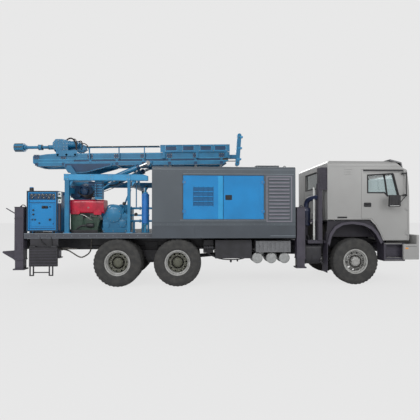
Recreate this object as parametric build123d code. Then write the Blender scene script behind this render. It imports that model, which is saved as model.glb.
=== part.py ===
from build123d import *
import os
from math import atan2, cos, degrees, hypot, pi, radians, sin

os.makedirs("parts", exist_ok=True)

# Truck mounted water well drilling rig, in travel position with its mast laid forward.
# Lengths are in millimetres. Every X below is measured from the front axle, forward
# positive; Y runs to the left side and Z up from the ground. The finished solids are
# shifted along X so that the origin lies under the middle of the whole machine.

# Reach of the whole machine
tail_reach = 8640          # drilling bit at the tail, behind the front axle
nose_reach = 1557          # front of the bumper, ahead of the front axle
to_middle = (tail_reach - nose_reach) / 2

# Running gap between pieces that move past each other, and between a pin and its bore
clear = 5
pin_gap = 0.3
seat_gap = 0.3

# Wheels and axles
wheel_base = 4300
bogie_spacing = 1400
tyre_radius = 560
tyre_width = 296
tread_width = 250
rim_radius = 290
rim_width = 224
rim_wall = 20
tyre_flats = 24            # a tyre is built in this many flat bands
disc_flats = 12
front_track = 2022
rear_track = 1830
twin_spacing = 330
hub_radius = 118
drum_radius = 205
spindle_radius = 60
axle_tube_radius = 78
banjo_radius = 215
banjo_front = 150
banjo_rear = 110
middle_axle = -wheel_base
rear_axle = -wheel_base - bogie_spacing
bogie_centre = (middle_axle + rear_axle) / 2

# Steering
kingpin_inset = 161        # from the front wheel's middle plane in to its kingpin
kingpin_y = front_track / 2 - kingpin_inset
kingpin_radius = 20
beam_half_thick = 45

# Chassis frame
rail_outer = 425
rail_flange = 80
rail_wall = 8
rail_top = 1080
rail_depth = 270
rail_front = 1150
rail_rear = -7930
rail_bottom = rail_top - rail_depth
subframe_front = -1500
cross_members = (1080, 740, -1940, -2900, -3700, -5000, -6300, -7050)
cross_half = 40
tail_beam = 140

# Deck over the rear of the chassis
deck_bottom = 1140
deck_top = 1264
deck_rear = -7840
deck_half = 1200
deck_wall = 8
deck_ribs = (-7150, -6300, -5500)
slot_half = 410            # the drilling slot in the tail, wide enough for the raised mast
slot_front = -7160

# Canopy of the air compressor
canopy_rear = -4895
canopy_front = -1500
canopy_half = 1250
canopy_bottom = deck_bottom
canopy_top = 2830
canopy_wall = 40
canopy_corner = 60
canopy_door_rear = -4170
canopy_door_seam = -3222
canopy_door_front = -2256
canopy_door_bottom = 1583
canopy_door_top = 2620
canopy_door_gap = 5
vent_rear = -3924
vent_front = -3465
vent_bottom = 1891
vent_top = 2348
vent_slots = 4
louvre_rear = -2184
louvre_front = -1596
louvre_bottom = 1534
louvre_top = 2600
louvre_count = 12
hatch_rear = -2333
hatch_front = -1766
hatch_height = 70
hinge_radius = 11
hinge_half = 30
hinge_proud = 12           # how far a hinge pin stands out of the panel's face

# Bumper
bumper_back = 1455
bumper_half = 1240
bumper_bottom = 612
bumper_top = 1200
bumper_side_top = 985      # lower beside the doors, which swing over it
bumper_wall = 45
bumper_corner = 95
tow_x = 1500
tow_bore = 21
tow_wall = 40

# Cab
cab_rear = -700
cab_front = 1360
cab_half = 1180
cab_top = 3005
cab_bottom = 1070
cab_lip = bumper_top + clear   # lower edge of the front wall, just over the bumper
cab_wall = 60
cab_corner = 100
roof_corner = 110
arch_top = 1560
tunnel_half = 450
tunnel_top = 1500
tilt_x = 1400
tilt_z = bumper_top - 90
tilt_pin = 20
door_gap = 5
visor_half = 1080

# Gantry that carries the mast, and the mast's pivot
post_y = 1130
post_half = 45
gantry_beam_bottom = 2494
gantry_beam_top = 2647
post_rear = -6928
post_rear_width = 100
post_middle = -5478
post_middle_width = 65
gantry_front = -5000
cylinder_beam_bottom = 2200
cylinder_beam_top = 2330
ear_inside = 430
ear_wall = 40
gusset_wall = 45

# Mast. Its X and Z are drawn level and then turned by the travel lean about its pivot.
travel_lean = 1.0
mast_foot = -8031
mast_crown = -2975
mast_over_canopy = 120
chord_depth = 163
chord_gap = 50
lower_chord_depth = 105
lower_chord_bottom = canopy_top + mast_over_canopy
lower_chord_top = lower_chord_bottom + lower_chord_depth
chord_bottom = lower_chord_top + chord_gap
chord_top = chord_bottom + chord_depth
mast_outer = 330
mast_side = 70
foot_plate_front = -7000
mast_bays = 7
crown_box_rear = -4775
crown_box_top = chord_top + 184
hose_rail_z = chord_top + 137
pivot_x = -7080
pivot_z = lower_chord_bottom - 70
pivot_pin = 30

# Mast raising cylinders
cylinder_y = 450
cylinder_base = (-6660, 2340)
cylinder_eye = (-5093, lower_chord_bottom + 30)
barrel_radius = 65
barrel_length = 1480
rod_radius = 36
eye_radius = 62
eye_half = 22
foot_pin = 32
eye_pin = 24

# Rotary head and drill string
head_rear = -7587
head_front = -6746
carriage_rear = -7444
carriage_front = -6910
carriage_depth = 77
guide_wall = 15
spindle_z = chord_top + 226
spindle_rod_radius = 40
spindle_neck = 52
collar_radius = 73
bit_radius = 112
bit_length = 240

# Jacks: name of the row, X centre, top of the sleeve, bottom of the foot
jack_y = 1095
jack_half = 100
jack_wall = 10
rear_jack_x = -7955
front_jack_x = -1352
jack_top = 1870
sleeve_bottom = 640
foot_bottom = 415
foot_half = 124
foot_height = 60
foot_plate = 30
foot_hole = 8
foot_hole_x = 105

# Operator's folding platform on the right side of the tail
platform_rear = -7700
platform_front = -7060
platform_hinge_y = -1235
platform_hinge_z = 958
platform_height = 440
platform_ribs = 6
rung_drop = 218
rung_width = 100
rung_starts = (-7690, -7255)


def block(x0, x1, y0, y1, z0, z1):
    """A box from its lowest to its highest corner."""
    centre = Location(((x0 + x1) / 2, (y0 + y1) / 2, (z0 + z1) / 2))
    return centre * Box(x1 - x0, y1 - y0, z1 - z0)


def prism_y(outline, y0, y1):
    """A side view outline of (x, z) points, pulled across the machine from y0 to y1."""
    face = make_face(Polyline(*[(x, y0, z) for x, z in outline], close=True))
    return extrude(face, amount=y1 - y0, dir=(0, 1, 0))


def prism_x(outline, x0, x1):
    """A front view outline of (y, z) points, pulled along the machine from x0 to x1."""
    face = make_face(Polyline(*[(x0, y, z) for y, z in outline], close=True))
    return extrude(face, amount=x1 - x0, dir=(1, 0, 0))


def prism_z(outline, z0, z1):
    """A plan outline of (x, y) points, pulled up from z0 to z1."""
    face = make_face(Polyline(*[(x, y, z0) for x, y in outline], close=True))
    return extrude(face, amount=z1 - z0, dir=(0, 0, 1))


def pin(start, end, radius):
    """A round bar between two points, for pins, bores and sliding rods."""
    axis = Vector(*end) - Vector(*start)
    place = Plane(origin=start, z_dir=axis).location
    return place * Cylinder(radius, axis.length, align=(Align.CENTER, Align.CENTER, Align.MIN))


def bar(start, end, radius, flats=8):
    """A bar between two points with flat sides, whose corners lie on the radius."""
    axis = Vector(*end) - Vector(*start)
    place = Plane(origin=start, z_dir=axis).location
    return place * extrude(RegularPolygon(radius, flats), amount=axis.length)


def brace(start, end, y0, y1, half):
    """A flat sided brace in a side view, between two (x, z) points, from y0 to y1."""
    length = hypot(end[0] - start[0], end[1] - start[1])
    across = (-(end[1] - start[1]) / length * half, (end[0] - start[0]) / length * half)
    corners = [(start[0] + across[0], start[1] + across[1]),
               (end[0] + across[0], end[1] + across[1]),
               (end[0] - across[0], end[1] - across[1]),
               (start[0] - across[0], start[1] - across[1])]
    return prism_y(corners, y0, y1)


def banded(outline, x, y, side, flats):
    """Turn an outline of (radius, outward) points about a wheel's axis, in flat bands.

    The bands touch the circle at their middles, and one of them lies flat at the bottom."""
    reach = 1 / cos(pi / flats)
    rings = []
    for i in range(flats):
        angle = 2 * pi * (i + 0.5) / flats
        rings.append([(x + r * reach * sin(angle), y + side * out,
                       tyre_radius - r * reach * cos(angle)) for r, out in outline])
    faces = []
    for one, two in zip(rings, rings[1:] + rings[:1]):
        for j, (radius, _) in enumerate(outline):
            k = (j + 1) % len(outline)
            after = outline[k][0]
            if radius == 0 and after == 0:
                continue
            corners = [one[j], one[k]] + ([two[k]] if after else []) + ([two[j]] if radius else [])
            faces.append(make_face(Polyline(*corners, close=True)).face())
    return Solid(Shell(faces))


def other_side(shape):
    return mirror(shape, about=Plane.XZ)


def both(shape):
    return [shape, other_side(shape)]


def leaned(x, z):
    """Where a point of the mast, drawn level, lies in travel."""
    dx, dz = x - pivot_x, z - pivot_z
    lean = radians(travel_lean)
    return (pivot_x + dx * cos(lean) - dz * sin(lean), pivot_z + dx * sin(lean) + dz * cos(lean))


def lay_down(shape):
    """Turn a level piece of the mast about the pivot to its travel position."""
    return shape.rotate(Axis((pivot_x, 0, pivot_z), (0, -1, 0)), travel_lean)


def save(node, *shapes):
    """Write one node's solids, moved so that the origin is under the machine's middle."""
    solids = [solid for shape in shapes for solid in shape.solids()]
    whole = solids[0] if len(solids) == 1 else Compound(solids)
    export_step(whole.moved(Location((to_middle, 0, 0))), f"parts/{node}.step")


# Chassis frame: two channel rails with cross members, and a subframe strip under the deck
def chassis_frame():
    frame = None
    for side in (-1, 1):
        outer, inner = side * rail_outer, side * (rail_outer - rail_flange)
        low, high = sorted((outer, inner))
        rail = block(rail_rear, rail_front, low, high, rail_bottom, rail_top)
        web = side * (rail_outer - rail_wall)
        hollow_low, hollow_high = sorted((web, inner - side * 1))
        rail -= block(rail_rear - 1, rail_front + 1, hollow_low, hollow_high,
                      rail_bottom + rail_wall, rail_top - rail_wall)
        rail += block(rail_rear, subframe_front, low, high, rail_top, deck_bottom)
        frame = rail if frame is None else frame + rail
    web_inside = rail_outer - rail_wall
    for x in cross_members:
        frame += block(x - cross_half, x + cross_half, -web_inside, web_inside,
                       rail_bottom + 2 * rail_wall, rail_top - 2 * rail_wall)
    # Brackets and pins on which the cab tilts, inside its engine tunnel
    bracket_outer = tunnel_half - clear - 2
    for side in (-1, 1):
        low, high = sorted((side * rail_outer, side * bracket_outer))
        frame += block(rail_front - 60, tilt_x + 40, low, high, tilt_z - 85, tilt_z + 35)
        frame += pin((tilt_x, side * rail_outer, tilt_z), (tilt_x, side * (bracket_outer + 57),
                     tilt_z), tilt_pin)
    # Brackets that carry the bumper, low enough for the tilting cab to pass over them
    for side in (-1, 1):
        low, high = sorted((side * 360, side * rail_outer))
        frame += block(rail_front - 60, bumper_back, low, high, 660, 780)
        frame += block(rail_front - 60, rail_front, low, high, 660, rail_bottom + 1)
    # Tail beam behind the drilling slot, which joins the two rear jack sleeves
    sleeve_inside = jack_y - jack_half
    frame += block(rail_rear - tail_beam, rail_rear, -sleeve_inside, sleeve_inside, 860, 1100)
    return frame


def axle_housings():
    """Front beam axle between the kingpins, and two driven axles with their banjos."""
    eye, drop = 45, 440
    half = [(kingpin_y + eye, 520), (kingpin_y + eye, 600), (kingpin_y - 70, 600), (620, 540)]
    under = [(kingpin_y - 90, 520), (640, drop)]
    outline = ([(-y, z) for y, z in half] + [(y, z) for y, z in reversed(half)]
               + [(y, z) for y, z in under] + [(-y, z) for y, z in reversed(under)])
    front = prism_x(outline, -beam_half_thick, beam_half_thick)
    for side in (-1, 1):
        front -= pin((0, side * kingpin_y, 400), (0, side * kingpin_y, 700),
                     kingpin_radius + pin_gap)
    driven = []
    tube_end = rear_track / 2 - twin_spacing / 2 - 70
    spindle_end = rear_track / 2 - 40
    for x in (middle_axle, rear_axle):
        housing = pin((x, -tube_end, tyre_radius), (x, tube_end, tyre_radius), axle_tube_radius)
        for side in (-1, 1):
            housing += pin((x, side * (tube_end - 1), tyre_radius),
                           (x, side * spindle_end, tyre_radius), spindle_radius)
        housing += bar((x - banjo_rear, 0, tyre_radius), (x + banjo_front, 0, tyre_radius),
                       banjo_radius, 12)
        driven.append(housing)
    return [front] + driven


def leaf_springs():
    springs = []
    y_in, y_out = 470, 560
    axle_top = tyre_radius + axle_tube_radius + seat_gap
    half = bogie_spacing / 2 + 70
    outline = [(bogie_centre - half, axle_top), (bogie_centre - half, axle_top + 40),
               (bogie_centre - 260, axle_top + 165), (bogie_centre + 260, axle_top + 165),
               (bogie_centre + half, axle_top + 40), (bogie_centre + half, axle_top),
               (bogie_centre + 420, axle_top), (bogie_centre + 150, axle_top - 5),
               (bogie_centre - 150, axle_top - 5), (bogie_centre - 420, axle_top)]
    rear = prism_y(outline, y_in, y_out)
    saddle = block(bogie_centre - 110, bogie_centre + 110, y_in, y_out, tyre_radius, axle_top - 5)
    hanger = prism_y([(bogie_centre - 170, 1000), (bogie_centre + 170, 1000),
                      (bogie_centre + 90, tyre_radius - 80),
                      (bogie_centre - 90, tyre_radius - 80)], rail_outer, y_in)
    rear = rear + saddle + hanger
    springs += both(rear)
    front = prism_y([(-860, 745), (-860, 775), (-250, 690), (250, 690), (860, 775),
                     (860, 745), (250, 610), (-250, 610)], 350, 420)
    for x in (-835, 835):
        front += block(x - 25, x + 25, 350, 420, 745, rail_bottom)
    front += block(-70, 70, 350, 420, 540, 615)
    springs += both(front)
    return springs


def driveline():
    """Gearbox behind the engine, and the shafts to the two driven axles."""
    gearbox = prism_y([(-1840, 660), (-1840, 900), (-1060, 1010), (-1060, 640)], -210, 210)
    flange = middle_axle + banjo_front + seat_gap
    shaft = bar((-1841, 0, 760), (flange + 40, 0, tyre_radius + 3), 50)
    shaft += bar((flange, 0, tyre_radius), (flange + 60, 0, tyre_radius), 70)
    between = bar((middle_axle - banjo_rear - seat_gap, 0, tyre_radius),
                  (rear_axle + banjo_front + seat_gap, 0, tyre_radius), 50)
    return [gearbox + shaft, between]


def truck_engine():
    engine = prism_y([(-1060 + seat_gap, 640), (-1060 + seat_gap, 1380), (-900, 1440),
                      (350, 1440), (420, 1300), (420, 640)], -330, 330)
    fan = bar((420, 0, 1080), (560, 0, 1080), 260, 12)
    radiator = block(560, 660, -335, 335, 700, 1440)
    engine += fan + radiator
    for x in (-900, 250):
        engine += block(x, x + 80, -400, 400, rail_top + seat_gap, rail_top + 45)
    return [engine]


# Deck: a pressed tray with a drilling slot in its tail and cross ribs
def deck():
    front = canopy_rear - seat_gap
    tray = block(deck_rear, front, -deck_half, deck_half, deck_bottom, deck_top)
    tray -= block(deck_rear + deck_wall, front - deck_wall, -deck_half + deck_wall,
                  deck_half - deck_wall, deck_bottom - 1, deck_top - deck_wall)
    for x in deck_ribs:
        tray += block(x, x + 60, -deck_half + 1, deck_half - 1, deck_bottom, deck_top - 1)
    for side in (-1, 1):
        low, high = sorted((side * slot_half, side * (slot_half + 60)))
        tray += block(deck_rear, slot_front, low, high, deck_bottom, deck_top)
    tray -= block(deck_rear - 1, slot_front, -slot_half, slot_half, deck_bottom - 1, deck_top + 1)
    return tray


# Hinges: a barrel on the door turns on top of an ear on the frame, about one pin line
def hinge_ears(x, y, side, heights, reach, start=0, bite=2):
    """Ears on the frame, one below each barrel of the door.

    The pin line is at (x, y). Each ear's foot runs reach along X from the pin, and from
    start on it goes bite deep into the wall behind the pin."""
    ears = []
    wall = y - side * hinge_proud
    for z in heights:
        z0, z1 = z - 2 * hinge_half, z - hinge_half - seat_gap
        ear = bar((x, y, z0), (x, y, z1), hinge_radius)
        ear += block(*sorted((x, x + reach)), *sorted((y, wall)), z0, z1)
        ear += block(*sorted((x + start, x + reach)), *sorted((y, wall - side * bite)), z0, z1)
        ears.append(ear)
    return ears


def hinge_barrels(x, y, side, heights, reach, start=0):
    """Barrels on the door, each with a strap to the door's face, which begins at start."""
    barrels = []
    wall = y - side * hinge_proud
    for z in heights:
        z0, z1 = z - hinge_half, z + hinge_half
        barrel = bar((x, y, z0), (x, y, z1), hinge_radius)
        barrel += block(*sorted((x, x + reach)), *sorted((y, wall)), z0, z1)
        barrel += block(*sorted((x + start, x + reach)), *sorted((y, wall - side * 2)), z0, z1)
        barrels.append(barrel)
    return barrels


canopy_hinge_y = canopy_half + hinge_proud
canopy_hinge_heights = (1770, 2460)


def canopy_shell():
    outer = block(canopy_rear, canopy_front, -canopy_half, canopy_half, canopy_bottom, canopy_top)
    long_edges = outer.edges().filter_by(Axis.X).group_by(Axis.Z)[-1]
    outer = fillet(long_edges, canopy_corner)
    inner = block(canopy_rear + canopy_wall, canopy_front - canopy_wall,
                  -canopy_half + canopy_wall, canopy_half - canopy_wall,
                  canopy_bottom + 60, canopy_top - canopy_wall)
    shell = outer - inner
    shell -= block(canopy_door_rear, canopy_door_front, -canopy_half - 1, canopy_half + 1,
                   canopy_door_bottom, canopy_door_top)
    shell -= block(louvre_rear, louvre_front, -canopy_half - 1, canopy_half + 1,
                   louvre_bottom, louvre_top)
    shell -= block(hatch_rear + 60, hatch_front - 60, -620, 620, canopy_top - 100, canopy_top + 1)
    for side in (-1, 1):
        for x, reach in ((canopy_door_rear, -45), (canopy_door_front, 45)):
            for ear in hinge_ears(x, side * canopy_hinge_y, side, canopy_hinge_heights, reach):
                shell += ear
    # The canopy is bolted together from a roof, a floor, two ends and two sides
    rear, front = canopy_rear + canopy_wall, canopy_front - canopy_wall
    floor, roof = canopy_bottom + 60, canopy_top - canopy_wall
    reach = canopy_half + 1
    shell -= block(canopy_rear - 1, canopy_front + 1, -reach, reach, roof, roof + seat_gap)
    shell -= block(canopy_rear - 1, canopy_front + 1, -reach, reach, floor - seat_gap, floor)
    shell -= block(rear - seat_gap, rear, -reach, reach, floor - seat_gap, roof + seat_gap)
    shell -= block(front, front + seat_gap, -reach, reach, floor - seat_gap, roof + seat_gap)
    return shell


def canopy_grilles():
    """Louvred panels in both sides and the raised exhaust hatch on the roof."""
    depth = 36
    panel = block(louvre_rear, louvre_front, -canopy_half, -canopy_half + depth,
                  louvre_bottom, louvre_top)
    pitch = (louvre_top - louvre_bottom - 60) / louvre_count
    for i in range(louvre_count):
        z = louvre_bottom + 30 + pitch * (i + 0.5)
        outline = [(-canopy_half - 1, z - 26), (-canopy_half - 1, z + 14),
                   (-canopy_half + depth + 1, z + 32), (-canopy_half + depth + 1, z - 8)]
        panel -= prism_x(outline, louvre_rear + 45, louvre_front - 45)
    hatch = block(hatch_rear, hatch_front, -680, 680, canopy_top, canopy_top + hatch_height)
    hatch -= block(hatch_rear + 40, hatch_front - 40, -620, 620, canopy_top - 1,
                   canopy_top + hatch_height - 12)
    return both(panel) + [hatch]


def canopy_door(front_leaf):
    """One leaf of the right side's double door, with its hinge barrels."""
    gap = canopy_door_gap
    if front_leaf:
        x0, x1, pin_x, turn = canopy_door_seam + gap, canopy_door_front - gap, canopy_door_front, -1
    else:
        x0, x1, pin_x, turn = canopy_door_rear + gap, canopy_door_seam - gap, canopy_door_rear, 1
    leaf = block(x0, x1, -canopy_half, -canopy_half + canopy_wall,
                 canopy_door_bottom + gap, canopy_door_top - gap)
    if not front_leaf:
        pitch = (vent_top - vent_bottom) / vent_slots
        for i in range(vent_slots):
            z = vent_bottom + pitch * i
            leaf -= block(vent_rear, vent_front, -canopy_half - 1, -canopy_half + 22,
                          z + 12, z + pitch - 12)
    for barrel in hinge_barrels(pin_x, -canopy_hinge_y, -1, canopy_hinge_heights, 60 * turn,
                                gap * turn):
        leaf += barrel
    return leaf


def compressor_set():
    return [block(-4250, -2250, -480, 480, canopy_bottom + 60, 2250)]


# Gantry: four posts, two long beams, cross beams, the mast's pivot ears and rests
def gantry():
    frame = None
    for side in (-1, 1):
        low, high = sorted((side * (post_y - post_half), side * (post_y + post_half)))
        for x, width in ((post_rear, post_rear_width), (post_middle, post_middle_width)):
            post = block(x, x + width, low, high, deck_top, gantry_beam_bottom + 1)
            frame = post if frame is None else frame + post
        frame += prism_y([(post_rear - 20, gantry_beam_bottom), (post_rear - 20, gantry_beam_top),
                          (gantry_front - 120, gantry_beam_top),
                          (gantry_front, gantry_beam_top - 40),
                          (gantry_front, gantry_beam_bottom)], low, high)
    reach = post_y - post_half + 1
    post_front = post_rear + post_rear_width
    middle_front = post_middle + post_middle_width
    frame += block(post_rear, post_front, -reach, reach, gantry_beam_bottom, gantry_beam_top)
    frame += block(post_middle, middle_front, -reach, reach, gantry_beam_bottom - 110,
                   gantry_beam_bottom)
    frame += block(post_rear, post_front, -reach, reach, cylinder_beam_bottom, cylinder_beam_top)
    # Ears and pins on which the mast turns
    ear = prism_y([(pivot_x - 75, pivot_z - 40), (pivot_x - 50, pivot_z + 60),
                   (pivot_x + 50, pivot_z + 60), (post_front, gantry_beam_top - 1),
                   (post_rear, gantry_beam_top - 1)], ear_inside, ear_inside + ear_wall)
    ear += pin((pivot_x, mast_outer - 10, pivot_z), (pivot_x, ear_inside + ear_wall + 1, pivot_z),
               pivot_pin)
    # Rests under the laid mast, cut to its lean
    under = [(x, leaned(x, lower_chord_bottom)[1] - seat_gap) for x in (middle_front, post_middle)]
    rest = prism_y([(post_middle, gantry_beam_bottom - 2), (middle_front, gantry_beam_bottom - 2)]
                   + under, 250, 320)
    # Cheeks of the raising cylinders, welded to the cross beam between the rear posts
    foot_x, foot_z = cylinder_base
    for y0 in (cylinder_y - 65, cylinder_y + 35):
        cheek = prism_y([(post_front - 1, cylinder_beam_bottom + 5),
                         (post_front - 1, foot_z + 60), (foot_x - 20, foot_z + 60),
                         (foot_x + 50, foot_z + 40), (foot_x + 50, foot_z - 50),
                         (foot_x - 20, cylinder_beam_bottom + 50)], y0, y0 + 30)
        for piece in both(cheek):
            frame += piece
    for piece in both(ear) + both(rest):
        frame += piece
    for side in (-1, 1):
        frame += pin((foot_x, side * (cylinder_y - 66), foot_z),
                     (foot_x, side * (cylinder_y + 66), foot_z), foot_pin)
    # Winch under the rear cross beam: two side plates and the rope drum between them
    winch_rear, winch_front, winch_bottom = -7005, -6338, 2057
    cheeks = [(winch_rear, gantry_beam_bottom + 1), (winch_rear, winch_bottom + 140),
              (winch_rear + 145, winch_bottom), (winch_front - 160, winch_bottom),
              (winch_front, winch_bottom + 140), (winch_front, gantry_beam_bottom + 1)]
    for y0 in (-690, -545):
        frame += prism_y(cheeks, y0, y0 + 15)
    frame += bar((-6600, -676, 2270), (-6600, -544, 2270), 150, 12)
    # Valve block on the right beam, with its strut
    frame += block(-6258, -6089, -1086, -900, 2060, gantry_beam_bottom + 66)
    frame += brace((-6095, 2300), (-5830, gantry_beam_bottom + 4), -1086, -1050, 12)
    return frame


def mud_pump():
    """Piston pump: a crankcase with a humped cover, its feet and the belt wheel."""
    crank = prism_y([(-6111, deck_top + 51), (-6111, 1640), (-5990, 1850), (-5900, 1928),
                     (-5760, 1928), (-5640, 1760), (-5531, 1700), (-5531, deck_top + 51)],
                    -900, -520)
    feet = block(-6100, -5540, -930, -500, deck_top, deck_top + 52)
    wheel = bar((-5880, -521, 1600), (-5880, -430, 1600), 215, 12)
    return [crank + feet + wheel]


def service_engine():
    """Small single cylinder diesel: skid, crankcase, fuel tank on top, flywheel."""
    skid = block(-6873, -6200, -1020, -620, deck_top, 1340)
    case = prism_y([(-6840, 1339), (-6860, 1731), (-6240, 1731), (-6170, 1560), (-6220, 1339)],
                   -980, -660)
    tank = block(-6873, -6065, -1030, -640, 1730, 2045)
    tank = fillet(tank.edges().filter_by(Axis.X), 60)
    filler = bar((-6352, -835, 2044), (-6352, -835, 2069), 45)
    flywheel = bar((-6560, -661, 1560), (-6560, -560, 1560), 200, 12)
    return [skid + case + tank + filler + flywheel]


def line_oiler():
    """Upright oil bottle that feeds the air line, with necked ends, on a foot."""
    x, y = -5091, -900
    bottle = bar((x, y, 1490), (x, y, 2180), 86, 12)
    bottle += bar((x, y, 1440), (x, y, 1491), 60) + bar((x, y, 2179), (x, y, 2243), 55)
    foot = bar((x, y, deck_top), (x, y, 1441), 32) + bar((x, y, deck_top), (x, y, deck_top + 20), 80)
    return [bottle + foot]


def hydraulic_tank():
    tank = block(-6800, -5700, 620, 1080, deck_top, 1880)
    tank = fillet(tank.edges().filter_by(Axis.Z), 50)
    cap = bar((-6500, 850, 1879), (-6500, 850, 1930), 60)
    filter_can = bar((-6000, 850, 1879), (-6000, 850, 1990), 75, 12)
    return [tank + cap + filter_can]


def control_cabinet():
    """Cabinet with a recessed panel, its levers, a beacon and a small switch box."""
    x0, x1, z0, z1 = -7780, -7091, 1310, 2240
    body = block(x0, x1, -1190, -560, z0, z1)
    body -= block(x0 + 45, x1 - 45, -1191, -1165, z0 + 50, z1 - 50)
    for foot in (x0 + 40, x1 - 120):
        body += block(foot, foot + 80, -1150, -600, deck_top, z0 + 1)
    body += bar((x0 + 65, -1100, z1 - 1), (x0 + 65, -1100, z1 + 96), 45)
    body += block(x1 - 1, x1 + 77, -1150, -1050, 1964, 2222)
    for x in (-7640, -7540, -7440, -7340, -7240):
        body += bar((x, -1164, 2060), (x, -1192, 2080), 12, 6)
    return [body]


# Jacks: a sleeve bolted to the frame with a square leg inside it
jack_rows = (("rear", rear_jack_x), ("front", front_jack_x))


def jack_sleeves():
    sleeves = []
    for row, x in jack_rows:
        outer = block(x - jack_half, x + jack_half, -jack_y - jack_half, -jack_y + jack_half,
                      sleeve_bottom, jack_top)
        hole = jack_half - jack_wall
        outer -= block(x - hole, x + hole, -jack_y - hole, -jack_y + hole,
                       sleeve_bottom - 1, jack_top - jack_wall)
        rear_face = x - jack_half
        if row == "front":
            outer += block(x - 70, x + 70, -jack_y + jack_half - 1, -rail_outer,
                           880, 1060)
        else:
            # Towing bracket and the pump handle at the tail
            outer += prism_y([(rear_face + 1, 647), (rear_face + 1, 860), (rear_face - 331, 836),
                              (rear_face - 331, 800), (rear_face - 77, 647)],
                             -jack_y + 25, -jack_y + 65)
            outer += bar((rear_face + 1, -jack_y, 1700), (rear_face - 240, -jack_y, 1843), 12, 6)
        sleeves += both(outer)
    return sleeves


def jack_leg(x):
    half = jack_half - jack_wall - seat_gap
    leg = block(x - half, x + half, -jack_y - half, -jack_y + half, foot_bottom + foot_plate - 1,
                jack_top - 120)
    leg -= block(x - half + 12, x + half - 12, -jack_y - half + 12, -jack_y + half - 12,
                 foot_bottom + foot_height + 30, jack_top - 100)
    foot = block(x - foot_half, x + foot_half, -jack_y - foot_half + 5, -jack_y + foot_half - 5,
                 foot_bottom, foot_bottom + foot_plate)
    for dx in (-foot_hole_x, foot_hole_x):
        foot -= pin((x + dx, -jack_y, foot_bottom - 1),
                    (x + dx, -jack_y, foot_bottom + foot_plate + 1), foot_hole)
    return leg + foot


def bumper():
    """Front bumper with rounded corners, lamp recesses and lower ends beside the doors."""
    inside = bumper_half - bumper_wall
    outer = block(1130, nose_reach, -bumper_half, bumper_half, bumper_bottom, bumper_top)
    front_corners = outer.edges().filter_by(Axis.Z).group_by(Axis.X)[-1]
    body = fillet(front_corners, bumper_corner)
    body -= block(1129, bumper_back, -inside, inside, bumper_bottom - 1, bumper_top + 1)
    body -= block(1129, bumper_back, -bumper_half - 1, bumper_half + 1, bumper_side_top,
                  bumper_top + 1)
    for side in (-1, 1):
        low, high = sorted((side * 700, side * 1090))
        body -= block(nose_reach - 35, nose_reach + 1, low, high, 800, 960)
    body -= block(nose_reach - 30, nose_reach + 1, -560, 560, 760, 830)
    lug = block(tow_x - 45, tow_x + 45, -60, 60, bumper_bottom - tow_wall, bumper_bottom)
    body += lug
    body -= block(tow_x - 46, tow_x + 46, -61, 61, bumper_bottom, bumper_bottom + 90)
    body += block(tow_x - 45, tow_x - 30, -60, 60, bumper_bottom - 1, bumper_bottom + 91)
    body -= pin((tow_x, 0, bumper_bottom - tow_wall - 1), (tow_x, 0, bumper_bottom + 1), tow_bore)
    return body


step_rear, step_front, step_bottom, step_top = 675, 1196, 572, 1010


def cab_steps():
    outer = bumper_half - bumper_wall - clear - 2
    step = block(step_rear, step_front, -outer, -860, step_bottom, step_top)
    step -= prism_y([(step_rear + 45, 650), (step_rear + 60, 960), (step_front - 50, 960),
                     (step_front - 50, 650)], -outer - 1, -1080)
    step += block(790, 860, -861, -rail_outer, 860, 960)
    return both(step)


def fuel_tank():
    tank = block(-2480, -1560, 560, 1130, 480, 1060)
    tank = fillet(tank.edges().filter_by(Axis.X), 90)
    for x in (-2300, -1800):
        tank += block(x, x + 60, rail_outer, 620, 700, 1060)
    tank += bar((-2020, 1000, 1050), (-2020, 1000, 1100), 50)
    return [tank]


def air_tanks():
    """Three air receivers side by side, hung on straps from one flat bar."""
    tanks = None
    for x in (-2379, -2036, -1716):
        tank = bar((x, -1030, 645), (x, -600, 645), 128, 12)
        tank += bar((x, -1050, 645), (x, -1029, 645), 90, 12)
        strap = block(x - 30, x + 30, -900, -860, 645, 795 - seat_gap)
        tanks = tank + strap if tanks is None else tanks + tank + strap
    tanks += block(-2420, -1680, -900, -860, 765, 795 - seat_gap)
    return [tanks]


def battery_box():
    box = block(-2420, -1590, -1120, -560, 795, 1061)
    for i in range(8):
        x = -2400 + 100 * i
        box -= block(x + 30, x + 60, -1121, -1108, 820, 1040)
    box += block(-2100, -1900, -561, -rail_outer, 850, 1000)
    return [box]


def tool_boxes():
    box = block(-3400, -2520, -1060, -560, 640, 1080)
    box += block(-3050, -2850, -561, -rail_outer, 850, 1000)
    pipe = bar((-3450, -700, 700), (-3399, -700, 700), 50)
    left = block(-3400, -2600, 560, 1060, 700, 1080)
    left += block(-3050, -2850, rail_outer, 561, 850, 1000)
    return [box + pipe, left]


def intake_stack():
    """Air intake behind the cab's right corner, its duct, air cleaner and coolant pipe."""
    duct = block(-919, -823, -1160, -1000, 1075, 2450)
    grille = block(-879, -708, -1170, -960, 2296, 2831)
    for i in range(8):
        z = 2330 + 60 * i
        grille -= block(-880, -700, -1171, -1155, z, z + 30)
    cleaner = bar((-1088, -760, 1440), (-1088, -760, 1861), 100, 12)
    arm = block(-1060, -860, -1001, -800, 1500, 1560) + block(-1060, -1020, -860, -799, 1500, 1560)
    pipe = bar((-970, -1000, 1075), (-970, -1000, 2253), 22)
    foot = block(-1160, -800, -1120, -rail_outer, 1000, 1076)
    post = block(-1118, -1058, -790, -730, 1075, 1441)
    exhaust = bar((-1110, 800, 1000), (-1110, 800, 2300), 110, 12)
    exhaust += block(-1160, -1060, rail_outer, 700, 950, 1060)
    exhaust += bar((-1110, 690, 1005), (-1110, 800, 1005), 50)
    return [duct + grille + cleaner + arm + foot + post + pipe, exhaust]


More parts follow.
